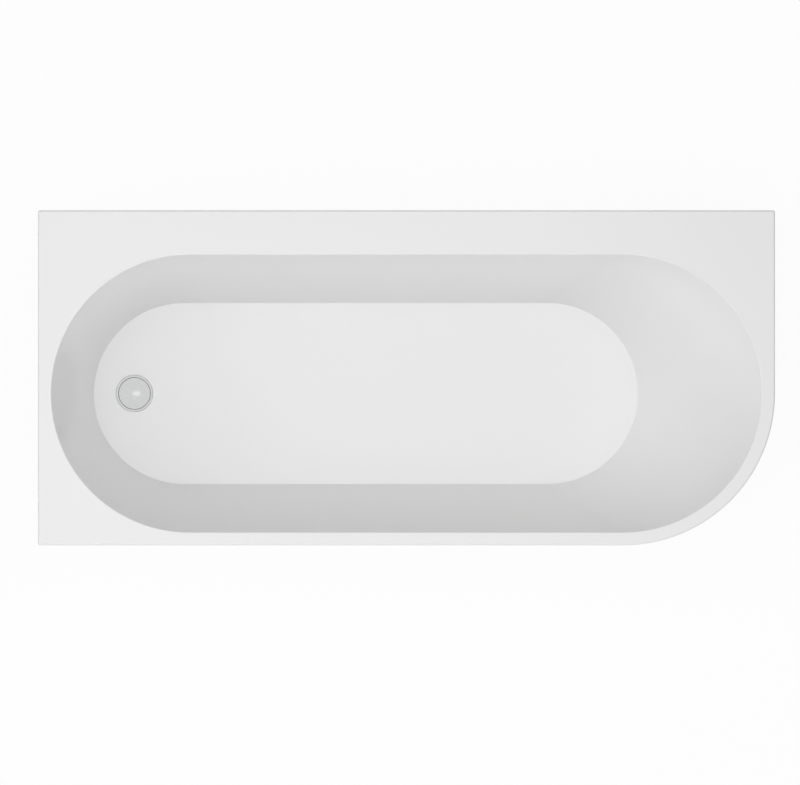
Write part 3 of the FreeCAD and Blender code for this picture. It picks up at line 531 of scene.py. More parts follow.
def scaled(colour, factor):
    return tuple(min(channel * factor, 1.0) for channel in colour)


class Shading:
    """Short ways to lay the nodes of a shading tree."""

    def __init__(self, tree):
        self.tree = tree

    def node(self, kind, **values):
        node = self.tree.nodes.new(kind)
        node.location.x = -NODE_STEP * len(self.tree.nodes)
        for name, value in values.items():
            setattr(node, name, value)
        return node

    def join(self, output, entry):
        self.tree.links.new(output, entry)

    def feed(self, entry, value):
        """Joins an output to an entry, or sets the entry's own value."""
        if isinstance(value, bpy.types.NodeSocket):
            self.join(value, entry)
        else:
            entry.default_value = value

    def coordinates(self, scale=None, turn=(0.0, 0.0, 0.0), kind="POINT"):
        """The piece's own coordinates, stretched and turned where a scale is given."""
        where = self.node("ShaderNodeTexCoord").outputs["Object"]
        if scale is None:
            return where
        mapping = self.node("ShaderNodeMapping", vector_type=kind)
        set_inputs(mapping, Scale=scale, Rotation=turn)
        self.join(where, mapping.inputs["Vector"])
        return mapping.outputs["Vector"]

    def noise(self, scale, detail=2.0, roughness=0.5, distortion=0.0, where=None):
        grain = self.node("ShaderNodeTexNoise")
        set_inputs(grain, Scale=scale, Detail=detail, Roughness=roughness, Distortion=distortion)
        self.join(self.coordinates() if where is None else where, grain.inputs["Vector"])
        return grain.outputs["Fac"]

    def ramp(self, level, *stops):
        """Colours by (level, colour) stops."""
        ramp = self.node("ShaderNodeValToRGB")
        elements = ramp.color_ramp.elements
        while len(elements) < len(stops):
            elements.new(1.0)
        for element, (position, colour) in zip(elements, stops):
            element.position = position
            element.color = (*colour, 1.0)
        self.join(level, ramp.inputs["Fac"])
        return ramp.outputs["Color"]

    def tones(self, level, colour, *stops):
        """Tones of one colour by (level, factor) stops."""
        return self.ramp(level, *((position, scaled(colour, factor)) for position, factor in stops))

    def span(self, level, low, high, start=0.3, end=0.7):
        """A level between start and end, spread from low to high."""
        span = self.node("ShaderNodeMapRange")
        set_inputs(span, From_Min=start, From_Max=end, To_Min=low, To_Max=high)
        self.join(level, span.inputs["Value"])
        return span.outputs["Result"]

    def blend(self, level, first, second):
        """The first colour where the level is 0, the second where it is 1."""
        mix = self.node("ShaderNodeMix", data_type="RGBA")
        self.join(level, mix.inputs["Factor"])
        entries = [socket for socket in mix.inputs if socket.type == "RGBA"]
        for entry, colour in zip(entries, (first, second)):
            self.feed(entry, colour)
        return next(socket for socket in mix.outputs if socket.type == "RGBA")

    def maths(self, operation, *values):
        maths = self.node("ShaderNodeMath", operation=operation)
        for entry, value in zip(maths.inputs, values):
            self.feed(entry, value)
        return maths.outputs["Value"]

    def seen_directly(self):
        """1 for rays from the camera, and for what gloss and glass show, else 0."""
        rays = self.node("ShaderNodeLightPath").outputs
        seen = self.maths("MAXIMUM", rays["Is Camera Ray"], rays["Is Glossy Ray"])
        return self.maths("MAXIMUM", seen, rays["Is Transmission Ray"])


class Finish(Shading):
    """A material's surface."""

    def __init__(self, name):
        self.material = bpy.data.materials.new(name)
        self.material.use_nodes = True
        super().__init__(self.material.node_tree)
        self.shader = self.tree.nodes["Principled BSDF"]

    def colour(self, output):
        self.join(output, self.shader.inputs["Base Color"])

    def roughness(self, level, low, high, start=0.3, end=0.7):
        self.join(self.span(level, low, high, start, end), self.shader.inputs["Roughness"])

    def bump(self, height, depth, strength=0.5):
        bump = self.node("ShaderNodeBump")
        set_inputs(bump, Strength=strength, Distance=depth)
        self.join(height, bump.inputs["Height"])
        self.join(bump.outputs["Normal"], self.shader.inputs["Normal"])


def acrylic_finish(finish, tints):
    """Cast sheet: even gloss white with faint clouding and a trace of orange peel."""
    set_inputs(finish.shader, IOR=1.49)
    clouds = finish.noise(scale=2.0, detail=0.0)
    finish.colour(finish.tones(clouds, tints.acrylic, (0.0, 0.985), (1.0, 1.005)))
    finish.roughness(clouds, 0.14, 0.17, start=0.0, end=1.0)
    finish.bump(finish.noise(scale=120.0, detail=0.0), depth=0.000003)


def laminate_finish(finish, tints):
    """Sprayed glass and resin: short strands lying every way in a milky yellow skin."""
    set_inputs(finish.shader, Specular_IOR_Level=0.45)
    strand_size = (0.034, 0.0013, 0.0013)
    strand_cover, strand_relief = 0.75, 0.5
    strands = None
    for turn in ((0, 0.2, 0), (0, 1.0, 0), (0, 1.9, 0), (0, 2.6, 0),
                 (0, 0.5, QUARTER), (0, 1.3, QUARTER), (0, 2.3, QUARTER), (0, 0, 0.9)):
        where = finish.coordinates(strand_size, turn, "TEXTURE")
        streaks = finish.noise(scale=1.0, detail=1.0, roughness=0.4, distortion=0.3, where=where)
        ridges = finish.span(streaks, 0.0, 1.0, start=0.6, end=0.72)
        strands = ridges if strands is None else finish.maths("MAXIMUM", strands, ridges)
    pools = finish.noise(scale=11.0, detail=4.0, roughness=0.6)
    resin = finish.tones(pools, tints.resin, (0.3, 0.86), (0.7, 1.08))
    cover = finish.maths("MULTIPLY", strands, strand_cover)
    finish.colour(finish.blend(cover, resin, (*tints.strand, 1.0)))
    finish.roughness(pools, 0.29, 0.5)
    lumps = finish.noise(scale=70.0, detail=3.0)
    relief = finish.maths("ADD", finish.maths("MULTIPLY", strands, strand_relief), lumps)
    finish.bump(relief, depth=0.0007, strength=0.6)


def plywood_finish(finish, tints):
    """Rotary-cut face grain, with the plies showing as bands on the edges."""
    set_inputs(finish.shader, Specular_IOR_Level=0.3)
    light, dark = tints.ply_light, tints.ply_dark
    along = finish.coordinates(scale=(3.0, 42.0, 6.0))
    grain = finish.noise(scale=2.2, detail=6.0, roughness=0.62, distortion=0.8, where=along)
    face = finish.ramp(grain, (0.28, dark), (0.5, light), (0.78, scaled(light, 1.12)))
    plies = finish.node("ShaderNodeTexWave", wave_type="BANDS", bands_direction="Z")
    set_inputs(plies, Scale=105.0, Distortion=0.6)
    finish.join(finish.coordinates(), plies.inputs["Vector"])
    edge = finish.ramp(plies.outputs["Fac"], (0.35, scaled(dark, 0.8)), (0.55, light))
    parts = finish.node("ShaderNodeSeparateXYZ")
    finish.join(finish.node("ShaderNodeNewGeometry").outputs["True Normal"], parts.inputs["Vector"])
    facing = finish.maths("ABSOLUTE", parts.outputs["Z"])
    flat = finish.span(facing, 0.0, 1.0, start=0.4, end=0.6)
    finish.colour(finish.blend(flat, edge, face))
    finish.roughness(grain, 0.62, 0.82)
    finish.bump(grain, depth=0.0004)


def coat_finish(finish, tints):
    """Baked powder coat: fine pebbling and a little shop dust."""
    set_inputs(finish.shader, Specular_IOR_Level=0.45)
    dust = finish.noise(scale=18.0, detail=5.0, roughness=0.65)
    finish.colour(finish.tones(dust, tints.coat, (0.35, 0.85), (0.75, 1.55)))
    finish.roughness(dust, 0.36, 0.56)
    finish.bump(finish.noise(scale=900.0), depth=0.00012, strength=0.6)


def zinc_finish(finish, tints):
    """Bright zinc plate: mottled, with fine drawn lines."""
    set_inputs(finish.shader, Metallic=1.0)
    mottle = finish.noise(scale=120.0, detail=4.0, roughness=0.6)
    finish.colour(finish.tones(mottle, tints.zinc, (0.3, 0.8), (0.55, 1.0), (0.75, 1.18)))
    finish.roughness(finish.noise(scale=260.0, detail=3.0), 0.28, 0.45)
    drawn = finish.coordinates(scale=(1.0, 14.0, 1.0))
    finish.bump(finish.noise(scale=420.0, where=drawn), depth=0.00005)


def nylon_finish(finish, tints):
    """Moulded black nylon with a fine spark-eroded grain."""
    set_inputs(finish.shader, Specular_IOR_Level=0.4)
    bloom = finish.noise(scale=60.0, detail=4.0)
    finish.colour(finish.tones(bloom, tints.nylon, (0.3, 1.0), (0.8, 2.2)))
    finish.roughness(bloom, 0.42, 0.6)
    finish.bump(finish.noise(scale=1500.0, detail=1.0), depth=0.0001)


def chrome_finish(finish, tints):
    """Bright plate with the faintest polishing marks."""
    set_inputs(finish.shader, Metallic=1.0)
    haze = finish.noise(scale=95.0, detail=4.0)
    finish.colour(finish.tones(haze, tints.chrome, (0.3, 0.975), (0.7, 1.02)))
    finish.roughness(finish.noise(scale=300.0), 0.05, 0.11)


def brass_finish(finish, tints):
    """Turned brass: tool rings about the axis and a dull bloom."""
    set_inputs(finish.shader, Metallic=1.0)
    bloom = finish.noise(scale=85.0, detail=5.0, roughness=0.6)
    finish.colour(finish.tones(bloom, tints.brass, (0.3, 0.7), (0.7, 1.1)))
    finish.roughness(bloom, 0.28, 0.42)
    turned = finish.coordinates(scale=(1.0, 1.0, 40.0))
    finish.bump(finish.noise(scale=60.0, detail=1.0, where=turned), depth=0.00008)


def rubber_finish(finish, tints):
    """Moulded rubber, matt, with a chalky bloom."""
    set_inputs(finish.shader, Specular_IOR_Level=0.3)
    bloom = finish.noise(scale=140.0, detail=4.0)
    finish.colour(finish.tones(bloom, tints.rubber, (0.35, 1.0), (0.8, 1.9)))
    finish.roughness(bloom, 0.66, 0.84)
    finish.bump(finish.noise(scale=900.0), depth=0.0001)


def plastic_finish(finish, tints):
    """White moulded polypropylene, satin, a little uneven in gloss."""
    set_inputs(finish.shader, IOR=1.49, Specular_IOR_Level=0.45)
    clouds = finish.noise(scale=30.0, detail=3.0)
    finish.colour(finish.tones(clouds, tints.plastic, (0.3, 0.95), (0.7, 1.0)))
    finish.roughness(clouds, 0.3, 0.42)
    finish.bump(finish.noise(scale=700.0), depth=0.00005)


FINISHES = {
    "Gloss acrylic": acrylic_finish,
    "Glass-fibre laminate": laminate_finish,
    "Plywood": plywood_finish,
    "Baked frame coat": coat_finish,
    "Zinc plate": zinc_finish,
    "Black nylon": nylon_finish,
    "Bright chrome": chrome_finish,
    "Turned brass": brass_finish,
    "Black rubber": rubber_finish,
    "White pipe plastic": plastic_finish,
}


def finish_named(name):
    """A finish is made once and shared by its pieces."""
    if name not in bpy.data.materials:
        FINISHES[name](Finish(name), bpy.context.scene.bath_finishes)
    return bpy.data.materials[name]


# Forms worked out from the sizes

class Shell:
    """The bath's outline, and its basin's walls and floor."""

    def __init__(self, sizes):
        self.rim = shell_high.z
        self.lip = self.rim - sizes.lip_depth
        self.floor = sizes.floor_height
        self.recess = (flange_high.x - flange_low.x) / 2 + sizes.recess_gap
        width = shell_high.y - shell_low.y
        self.half_width = (width - sizes.rim_width - sizes.deck_width) / 2
        self.centre_y = (sizes.rim_width - sizes.deck_width) / 2
        self.left = shell_low.x + sizes.rim_width
        self.right = shell_high.x - sizes.rim_width
        self.wide_corner = self.half_width + sizes.rim_width
        self.square_corner = sizes.corner_round
        depth = self.rim - self.floor
        self.side_slope = sizes.side_run / depth
        self.waste_slope = sizes.waste_end_run / depth
        self.rest_slope = sizes.back_rest_run / depth
        self.fall = sizes.floor_fall / (self.right - sizes.back_rest_run - waste_centre.x)

    def plan(self, height, offset, cuts=SHELL_CUTS):
        """Points and outward ways round the basin at a height, moved out by a thickness."""
        line_steps, arc_steps = cuts
        drop = self.rim - height
        half = self.half_width - self.side_slope * drop + offset * math.hypot(1, self.side_slope)
        left = self.left + self.waste_slope * drop - offset * math.hypot(1, self.waste_slope)
        right = self.right - self.rest_slope * drop + offset * math.hypot(1, self.rest_slope)
        start, end = left + half, right - half
        plan = []
        for first, last, turn in ((start, end, -QUARTER), (end, start, QUARTER)):
            outward = direction(turn)
            for i in range(line_steps):
                x = first + (last - first) * i / line_steps
                plan.append((Vector((x, self.centre_y, height)) + outward * half, outward))
            for i in range(arc_steps):
                outward = direction(turn + math.pi * i / arc_steps)
                plan.append((Vector((last, self.centre_y, height)) + outward * half, outward))
        return plan

    def ring(self, height, offset, cuts=SHELL_CUTS):
        return [point for point, _ in self.plan(height, offset, cuts)]

    def tilted(self, points):
        """Points of a level plan, lifted to the fall of the floor."""
        return [p + UP * ((p.x - waste_centre.x) * self.fall) for p in points]

    def walls(self, offset, bottom, falls, rounds, wall_steps, cuts):
        """Columns of points from the rim, down the wall, to the floor, with rounds at top and foot."""
        top_round, foot_round = rounds
        feet = self.ring(bottom, offset, cuts)
        if falls:
            feet = self.tilted(feet)
        columns = []
        for (head, outward), foot in zip(self.plan(self.rim, offset, cuts), feet):
            along = Vector((-outward.y, outward.x, 0.0))
            down = foot - head
            down = (down - along * down.dot(along)).normalized()
            inward = -outward
            if falls:
                inward = (inward + UP * (inward.x * self.fall)).normalized()
            column = corner_arc(head, outward, down, top_round) if top_round > 0 else [head]
            foot_arc = corner_arc(foot, -down, inward, foot_round)
            for i in range(1, wall_steps):
                column.append(column[-1].lerp(foot_arc[0], 1 / (wall_steps - i + 1)))
            columns.append(column + foot_arc)
        return columns

    def rim_plan(self, inset, z):
        """The bath's outline: three square corners and one wide curve."""
        points = []
        for side_x, side_y, radius, first, steps in (
            (-1, -1, self.square_corner, 2 * QUARTER, CORNER_STEPS),
            (1, -1, self.wide_corner, 3 * QUARTER, ARC_STEPS),
            (1, 1, self.square_corner, 0.0, CORNER_STEPS),
            (-1, 1, self.square_corner, QUARTER, CORNER_STEPS),
        ):
            inner = max(radius - inset, LEAST_ROUND)
            x = side_x * (shell_high.x - inset - inner)
            y = side_y * (shell_high.y - inset - inner)
            for i in range(steps + 1):
                points.append(Vector((x, y, z)) + direction(first + QUARTER * i / steps) * inner)
        return points

    def j_stations(self, end_inset):
        """Points and inward ways along the front, round the wide corner and up the open end."""
        centre = Vector((shell_high.x - self.wide_corner, shell_low.y + self.wide_corner, 0.0))
        start, end = shell_low.x + end_inset, shell_high.y - end_inset
        stations = []
        for i in range(LINE_STEPS):
            x = start + (centre.x - start) * i / LINE_STEPS
            stations.append((Vector((x, shell_low.y, 0.0)), Vector((0, 1, 0))))
        for i in range(ARC_STEPS):
            outward = direction(3 * QUARTER + QUARTER * i / ARC_STEPS)
            stations.append((centre + outward * self.wide_corner, -outward))
        for i in range(LINE_STEPS + 1):
            y = centre.y + (end - centre.y) * i / LINE_STEPS
            stations.append((Vector((shell_high.x, y, 0.0)), Vector((-1, 0, 0))))
        return stations


def weld_bead(bm, path, radius, closed=False):
    """A rippled bead along points of a path; an open bead thins out at its ends."""
    last = len(path) - 1
    rings = []
    for i, point in enumerate(path):
        ahead = path[(i + 1) % len(path)] if closed else path[min(i + 1, last)]
        behind = path[i - 1] if closed or i > 0 else path[0]
        along = (ahead - behind).normalized()
        level = abs(along.z) < along.xy.length
        across = along.cross(UP if level else Vector((1, 0, 0))).normalized()
        other = along.cross(across)
        ripple = abs(math.sin(math.pi * i / RIPPLE_STEPS))
        wave = BEAD_TROUGH_SHARE + (1 - BEAD_TROUGH_SHARE) * ripple
        fade = 1.0 if closed else min(1.0, BEAD_END_SHARE + BEAD_SWELL_SHARE * min(i, last - i))
        ways = [across * math.cos(angle) + other * math.sin(angle) for angle in angles(BEAD_SIDES)]
        rings.append([point + way * radius * wave * fade for way in ways])
    if closed:
        hoop(bm, rings)
    else:
        capped(bm, rings)


def helix_thread(bm, centre, low, high, radius, depth, pitch):
    """A thread as one strip of root, flanks and crest wound up the stem."""
    root = radius - depth
    profile = ((0.0, root), (ROOT_END_SHARE, root), (CREST_START_SHARE, radius),
               (CREST_END_SHARE, radius), (ROOT_START_SHARE, root))
    turns = math.floor((high - low) / pitch)
    rows = []
    for i in range(THREAD_STEPS * turns + 1):
        base = over(centre, low + pitch * i / THREAD_STEPS)
        way = direction(2 * math.pi * i / THREAD_STEPS)
        rows.append(lay_ring(bm, [base + way * r + UP * (pitch * up) for up, r in profile]))
    last = len(profile) - 1
    for i, (row, after) in enumerate(zip(rows, rows[1:])):
        for j in range(last):
            bm.faces.new((row[j], after[j], after[j + 1], row[j + 1]))
        above = i + THREAD_STEPS
        if above + 1 < len(rows):
            bm.faces.new((row[last], after[last], rows[above + 1][0], rows[above][0]))
    bmesh.ops.holes_fill(bm, edges=[edge for edge in bm.edges if edge.is_boundary], sides=0)


# Operators, one for each piece or group of like pieces

class BATH_OT_shell(bpy.types.Operator):
    """Mould the white shell: rim, lip, basin, floor and the recess for the waste"""
    bl_idname = "bath.shell"
    bl_label = "Shell"

    def execute(self, context):
        sizes = context.scene.bath_shell
        shell = Shell(sizes)
        bm = bmesh.new()
        rounds = (sizes.basin_round, sizes.floor_round)
        columns = shell.walls(0.0, shell.floor, True, rounds, WALL_STEPS, SHELL_CUTS)
        inside = [lay_ring(bm, ring) for ring in zip(*columns)]
        skin(bm, inside)

        rim_under = shell.rim - sizes.sheet
        section = rounded_profile((
            (sizes.deck_width, shell.rim, 0.0), (0.0, shell.rim, sizes.rim_round),
            (0.0, shell.lip, sizes.lip_round), (sizes.sheet, shell.lip, sizes.lip_round),
            (sizes.sheet, rim_under, 0.0)))
        outside = [lay_ring(bm, shell.rim_plan(inset, z)) for inset, z in section[1:]]
        skin(bm, outside)
        fill_between(bm, outside[0], inside[0])

        floor_under = shell.floor - sizes.sheet
        under = lay_ring(bm, shell.ring(rim_under, sizes.sheet))
        base = lay_ring(bm, shell.tilted(shell.ring(floor_under, sizes.sheet)))
        skin(bm, [under, base])
        fill_between(bm, outside[-1], under)

        recess_floor = shell.floor - sizes.recess_depth
        boss = shell.recess + sizes.sheet
        boss_bottom = recess_floor - sizes.sheet
        pocket = [lay_ring(bm, ring) for ring in (
            shell.tilted(circle(waste_centre, shell.recess + sizes.recess_round, shell.floor)),
            circle(waste_centre, shell.recess, shell.floor - sizes.recess_round),
            circle(waste_centre, shell.recess, recess_floor),
            circle(waste_centre, sizes.drain_radius, recess_floor),
            circle(waste_centre, sizes.drain_radius, boss_bottom),
            circle(waste_centre, boss, boss_bottom),
            shell.tilted(circle(waste_centre, boss, floor_under)),
        )]
        skin(bm, pocket)
        fill_between(bm, inside[-1], pocket[0])
        fill_between(bm, base, pocket[-1])
        put_piece(bm, "moulded_shell", "Gloss acrylic", "bath", ["tub_shell"])
        return {"FINISHED"}


class BATH_OT_laminate(bpy.types.Operator):
    """Spray the uneven glass-fibre backing on the shell"""
    bl_idname = "bath.laminate"
    bl_label = "Laminate"

    def execute(self, context):
        sizes = context.scene.bath_shell
        shell = Shell(sizes)
        bm = bmesh.new()
        bonded = sizes.sheet + sizes.bond
        bottom, top = laminate_low.z, laminate_high.z
        rounds = (0.0, sizes.laminate_round)
        columns = shell.walls(bonded + sizes.laminate, bottom, False, rounds,
                              LAMINATE_WALL_STEPS, LAMINATE_CUTS)
        lumpy = []
        for column, (_, outward) in zip(columns, shell.plan(shell.rim, 0.0, LAMINATE_CUTS)):
            points = [p for p in column if p.z < top]
            cut = (column[0].z - top) / (column[0].z - points[0].z)
            points[0] = column[0].lerp(points[0], cut)
            for i in range(1, len(points) - 1):
                lump = noise.fractal(points[i] * LUMP_SCALE, LUMP_FADE, LUMP_LACUNARITY, LUMP_OCTAVES)
                lump = max(lump - LUMP_MIDDLE, LUMP_LEAST)
                points[i] = points[i] + outward * (lump * sizes.laminate_lumps)
            lumpy.append(points)
        outside = [lay_ring(bm, ring) for ring in zip(*lumpy)]
        skin(bm, outside)

        inner_floor = shell.floor - bonded
        head = lay_ring(bm, shell.ring(top, bonded, LAMINATE_CUTS))
        foot = lay_ring(bm, shell.tilted(shell.ring(inner_floor, bonded, LAMINATE_CUTS)))
        skin(bm, [head, foot])
        skin(bm, [outside[0], head])
        opening = shell.recess + bonded
        lower = lay_ring(bm, circle(waste_centre, opening, bottom))
        upper = lay_ring(bm, shell.tilted(circle(waste_centre, opening, inner_floor)))
        skin(bm, [lower, upper])
        fill_between(bm, outside[-1], lower)
        fill_between(bm, foot, upper)
        put_piece(bm, "fibre_backing", "Glass-fibre laminate", "bath",
                  ["laminate_backing"])
        return {"FINISHED"}


class BATH_OT_boards(bpy.types.Operator):
    """Finish the base board and the plates under the rim"""
    bl_idname = "bath.boards"
    bl_label = "Boards"

    def execute(self, context):
        dress("Plywood", "base_board", *nodes_named("deck_plate_"))
        return {"FINISHED"}


class BATH_OT_apron(bpy.types.Operator):
    """Form the apron panel with its flange and returns, its keeper strip and its rib"""
    bl_idname = "bath.apron"
    bl_label = "Apron"

    def execute(self, context):
        shell, parts = Shell(context.scene.bath_shell), context.scene.bath_parts
        self.panel(shell, parts)
        self.strip("keeper_strip", "panel_keeper_strip", parts.keeper_sheet, shell, parts,
                   "White pipe plastic", "white_plastic")
        self.strip("lower_rib", "panel_lower_rib", parts.rib_width, shell, parts, "Plywood", "plywood")
        return {"FINISHED"}

    def panel(self, shell, parts):
        sheet, sharp = parts.panel_sheet, parts.edge_break
        low, high = apron_low.z, apron_high.z
        outer = shell_high.x - apron_high.x
        inner = outer + sheet
        flange = outer + parts.panel_flange
        bm = bmesh.new()
        sweep(bm, shell.j_stations(outer), rounded_profile((
            (outer, low, parts.panel_round), (outer, high, parts.panel_top_round),
            (inner, high, parts.panel_top_round), (inner, low + sheet, parts.panel_round),
            (flange, low + sheet, sharp), (flange, low, sharp))))
        return_top = shell.lip - parts.panel_return_drop
        start = Vector((shell_low.x + outer, shell_low.y + inner, low + sheet))
        size = Vector((sheet, parts.panel_return - sheet, return_top - start.z))
        rounded_box(bm, start, start + size, sharp)
        end = Vector((shell_high.x - inner, shell_high.y - outer, return_top))
        size = Vector((parts.panel_return - sheet, sheet, return_top - start.z))
        rounded_box(bm, end - size, end, sharp)
        put_piece(bm, "apron_skin", "Gloss acrylic", "bath", ["apron_panel"])

    def strip(self, name, node, width, shell, parts, finish, slot):
        """A strip of rectangular section that follows the panel."""
        low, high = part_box(node)
        outer, sharp = shell_high.x - high.x, parts.edge_break
        inner = outer + width
        bm = bmesh.new()
        sweep(bm, shell.j_stations(low.x - shell_low.x), rounded_profile((
            (outer, low.z, sharp), (outer, high.z, sharp),
            (inner, high.z, sharp), (inner, low.z, sharp)), BREAK_STEPS))
        put_piece(bm, name, finish, "bath", [node])


class BATH_OT_frame(bpy.types.Operator):
    """Coat the welded frame, lay its weld beads and finish its end plugs"""
    bl_idname = "bath.frame"
    bl_label = "Frame"

    def execute(self, context):
        parts = context.scene.bath_parts
        dress("Baked frame coat", *cross_names, "frame_back_rail", "frame_front_rail")
        dress("Black nylon", "rail_end_plugs")
        bm = bmesh.new()
        step = parts.bead_ripple / RIPPLE_STEPS
        for name in cross_names:
            low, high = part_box(name)
            corner = Vector((1, 1, 1)) * (parts.tube * TUBE_CORNER_SHARE)
            start, end = low + corner, high - corner
            for y in (low.y, high.y):
                for x in (low.x, high.x):
                    path = points_between(Vector((x, y, start.z)), Vector((x, y, end.z)), step)
                    weld_bead(bm, path, parts.bead)
                for z in (low.z + parts.bead / 2, high.z - parts.bead / 2):
                    path = points_between(Vector((start.x, y, z)), Vector((end.x, y, z)), step)
                    weld_bead(bm, path, parts.bead * LEVEL_BEAD_SHARE)
        _, nut_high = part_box("foot_weld_nuts")
        nut_reach = hexagon_radius(math.pi / 6, parts.nut_flats)
        ripples = round(2 * math.pi * nut_reach / parts.bead_ripple)
        for centre in foot_centres.values():
            path = circle(centre, nut_reach, nut_high.z, RIPPLE_STEPS * ripples)
            weld_bead(bm, path, parts.bead * NUT_BEAD_SHARE, closed=True)
        put_piece(bm, "weld_beads", "Baked frame coat", "bath", crease=BEAD_CREASE)
        return {"FINISHED"}


class BATH_OT_feet(bpy.types.Operator):
    """Cut the levelling screws' threads, chamfer the nuts and mould the pads"""
    bl_idname = "bath.feet"
    bl_label = "Feet"

    def execute(self, context):
        parts = context.scene.bath_parts
        bore = parts.stem_radius + parts.nut_bore_gap
        for name in ("weld_nuts", "lock_nuts"):
            low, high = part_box("foot_" + name)
            bm = bmesh.new()
            for centre in foot_centres.values():
                hexagon_nut(bm, centre, low.z, high.z, parts.nut_flats, bore)
            put_piece(bm, name, "Zinc plate", "bath", ["foot_" + name], NUT_CREASE)
        for foot in foot_names:
            self.stem(foot, parts)
            self.pad(foot, parts)
        return {"FINISHED"}

    def stem(self, foot, parts):
        centre = foot_centres[foot]
        low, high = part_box("foot_stem_" + foot)
        collar = foot_boxes[foot][1].z + parts.collar_gap
        collar_top = collar + parts.collar_height
        root = parts.stem_radius - parts.thread_depth
        bm = bmesh.new()
        helix_thread(bm, centre, (collar + collar_top) / 2, high.z - STEM_END, parts.stem_radius,
                     parts.thread_depth, parts.pitch)
        lathe(bm, centre, rounded_profile((
            (0.0, low.z, 0.0), (root, low.z, STEM_END), (root, collar + STEM_END, 0.0),
            (0.0, collar + STEM_END, 0.0))), STEM_STEPS)
        hexagon_nut(bm, centre, collar, collar_top, parts.collar_flats)
        put_piece(bm, "screw_stem_" + foot, "Zinc plate", "stem_" + foot,
                  ["foot_stem_" + foot], NUT_CREASE)

    def pad(self, foot, parts):
        centre = foot_centres[foot]
        low, high = foot_boxes[foot]
        radius = (high.x - low.x) / 2
        stem_low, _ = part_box("foot_stem_" + foot)
        socket_floor = stem_low.z - parts.pad_play
        rim = low.z + parts.pad_rim
        neck_base = (rim + high.z) / 2
        shoulder = rim + (neck_base - rim) * PAD_SHOULDER_SHARE
        bm = bmesh.new()
        lathe(bm, centre, rounded_profile((
            (0.0, low.z, 0.0), (radius, low.z, parts.pad_round), (radius, rim, parts.pad_round),
            (parts.pad_neck, shoulder, parts.pad_neck_round), (parts.pad_neck, high.z, parts.pad_top_round),
            (parts.pad_socket, high.z, parts.pad_mouth_round), (parts.pad_socket, socket_floor, 0.0),
            (0.0, socket_floor, 0.0))))
        tip = radius - parts.gusset_inset
        root = (parts.pad_neck + parts.pad_socket) / 2
        base = low.z + parts.pad_rim / 2
        outline = ((root, base), (tip, base), (tip, rim + parts.gusset_step),
                   (root, neck_base + parts.gusset_climb))
        for angle in angles(parts.pad_gussets):
            way = direction(angle)
            side = Vector((-way.y, way.x, 0.0)) * (parts.pad_gusset / 2)
            capped(bm, [[over(centre, z) + way * r + edge for r, z in outline] for edge in (side, -side)])
        put_piece(bm, "levelling_pad_" + foot, "Black nylon", "pad_" + foot,
                  ["foot_pad_" + foot])


class BATH_OT_fixings(bpy.types.Operator):
    """Finish the wall brackets, the panel ties and all screws"""
    bl_idname = "bath.fixings"
    bl_label = "Fixings"

    def execute(self, context):
        dress("Zinc plate", "wall_brackets", "wall_bracket_screws", "panel_tie_plates", "tie_screws",
              "board_screws")
        return {"FINISHED"}


class BATH_OT_waste(bpy.types.Operator):
    """Turn the waste cap and finish the flange, gaskets and push mechanism"""
    bl_idname = "bath.waste"
    bl_label = "Waste"

    def execute(self, context):
        parts = context.scene.bath_parts
        dress("Bright chrome", "waste_flange")
        dress("Turned brass", "click_cartridge", "click_plunger", "waste_back_nut")
        dress("Black rubber", "waste_flange_gasket", "waste_lower_gasket", "cap_seal")
        dress("Zinc plate", "click_spring")

        radius = (cap_high.x - cap_low.x) / 2
        crown = cap_high.z
        edge = crown - parts.cap_dome
        under = edge - parts.cap_sheet
        bore_top = under + parts.cap_bore_seat
        sphere = (radius ** 2 + parts.cap_dome ** 2) / (2 * parts.cap_dome)
        radii = [radius * i / DOME_STEPS for i in range(DOME_STEPS)]
        dome = [(r, crown - sphere + math.sqrt(sphere ** 2 - r ** 2)) for r in radii]
        brim = rounded_profile((
            (*dome[-1], 0.0), (radius, edge, parts.cap_round), (radius, under, parts.cap_under_round),
            (parts.cap_boss, under, 0.0), (parts.cap_boss, cap_low.z, parts.cap_boss_round),
            (parts.cap_bore, cap_low.z, 0.0), (parts.cap_bore, bore_top, 0.0), (0.0, bore_top, 0.0)))
        bm = bmesh.new()
        lathe(bm, waste_centre, dome[:-1] + brim)
        put_piece(bm, "domed_cap", "Bright chrome", "waste_cap", ["waste_cap"])
        return {"FINISHED"}


class BATH_OT_trap(bpy.types.Operator):
    """Finish the trap, its nuts and its seals"""
    bl_idname = "bath.trap"
    bl_label = "Trap"

    def execute(self, context):
        dress("White pipe plastic", "trap_body", "trap_inlet_nut", "trap_outlet_nut", "trap_cleaning_cap")
        dress("Black rubber", "trap_inlet_washer", "trap_outlet_seal")
        return {"FINISHED"}


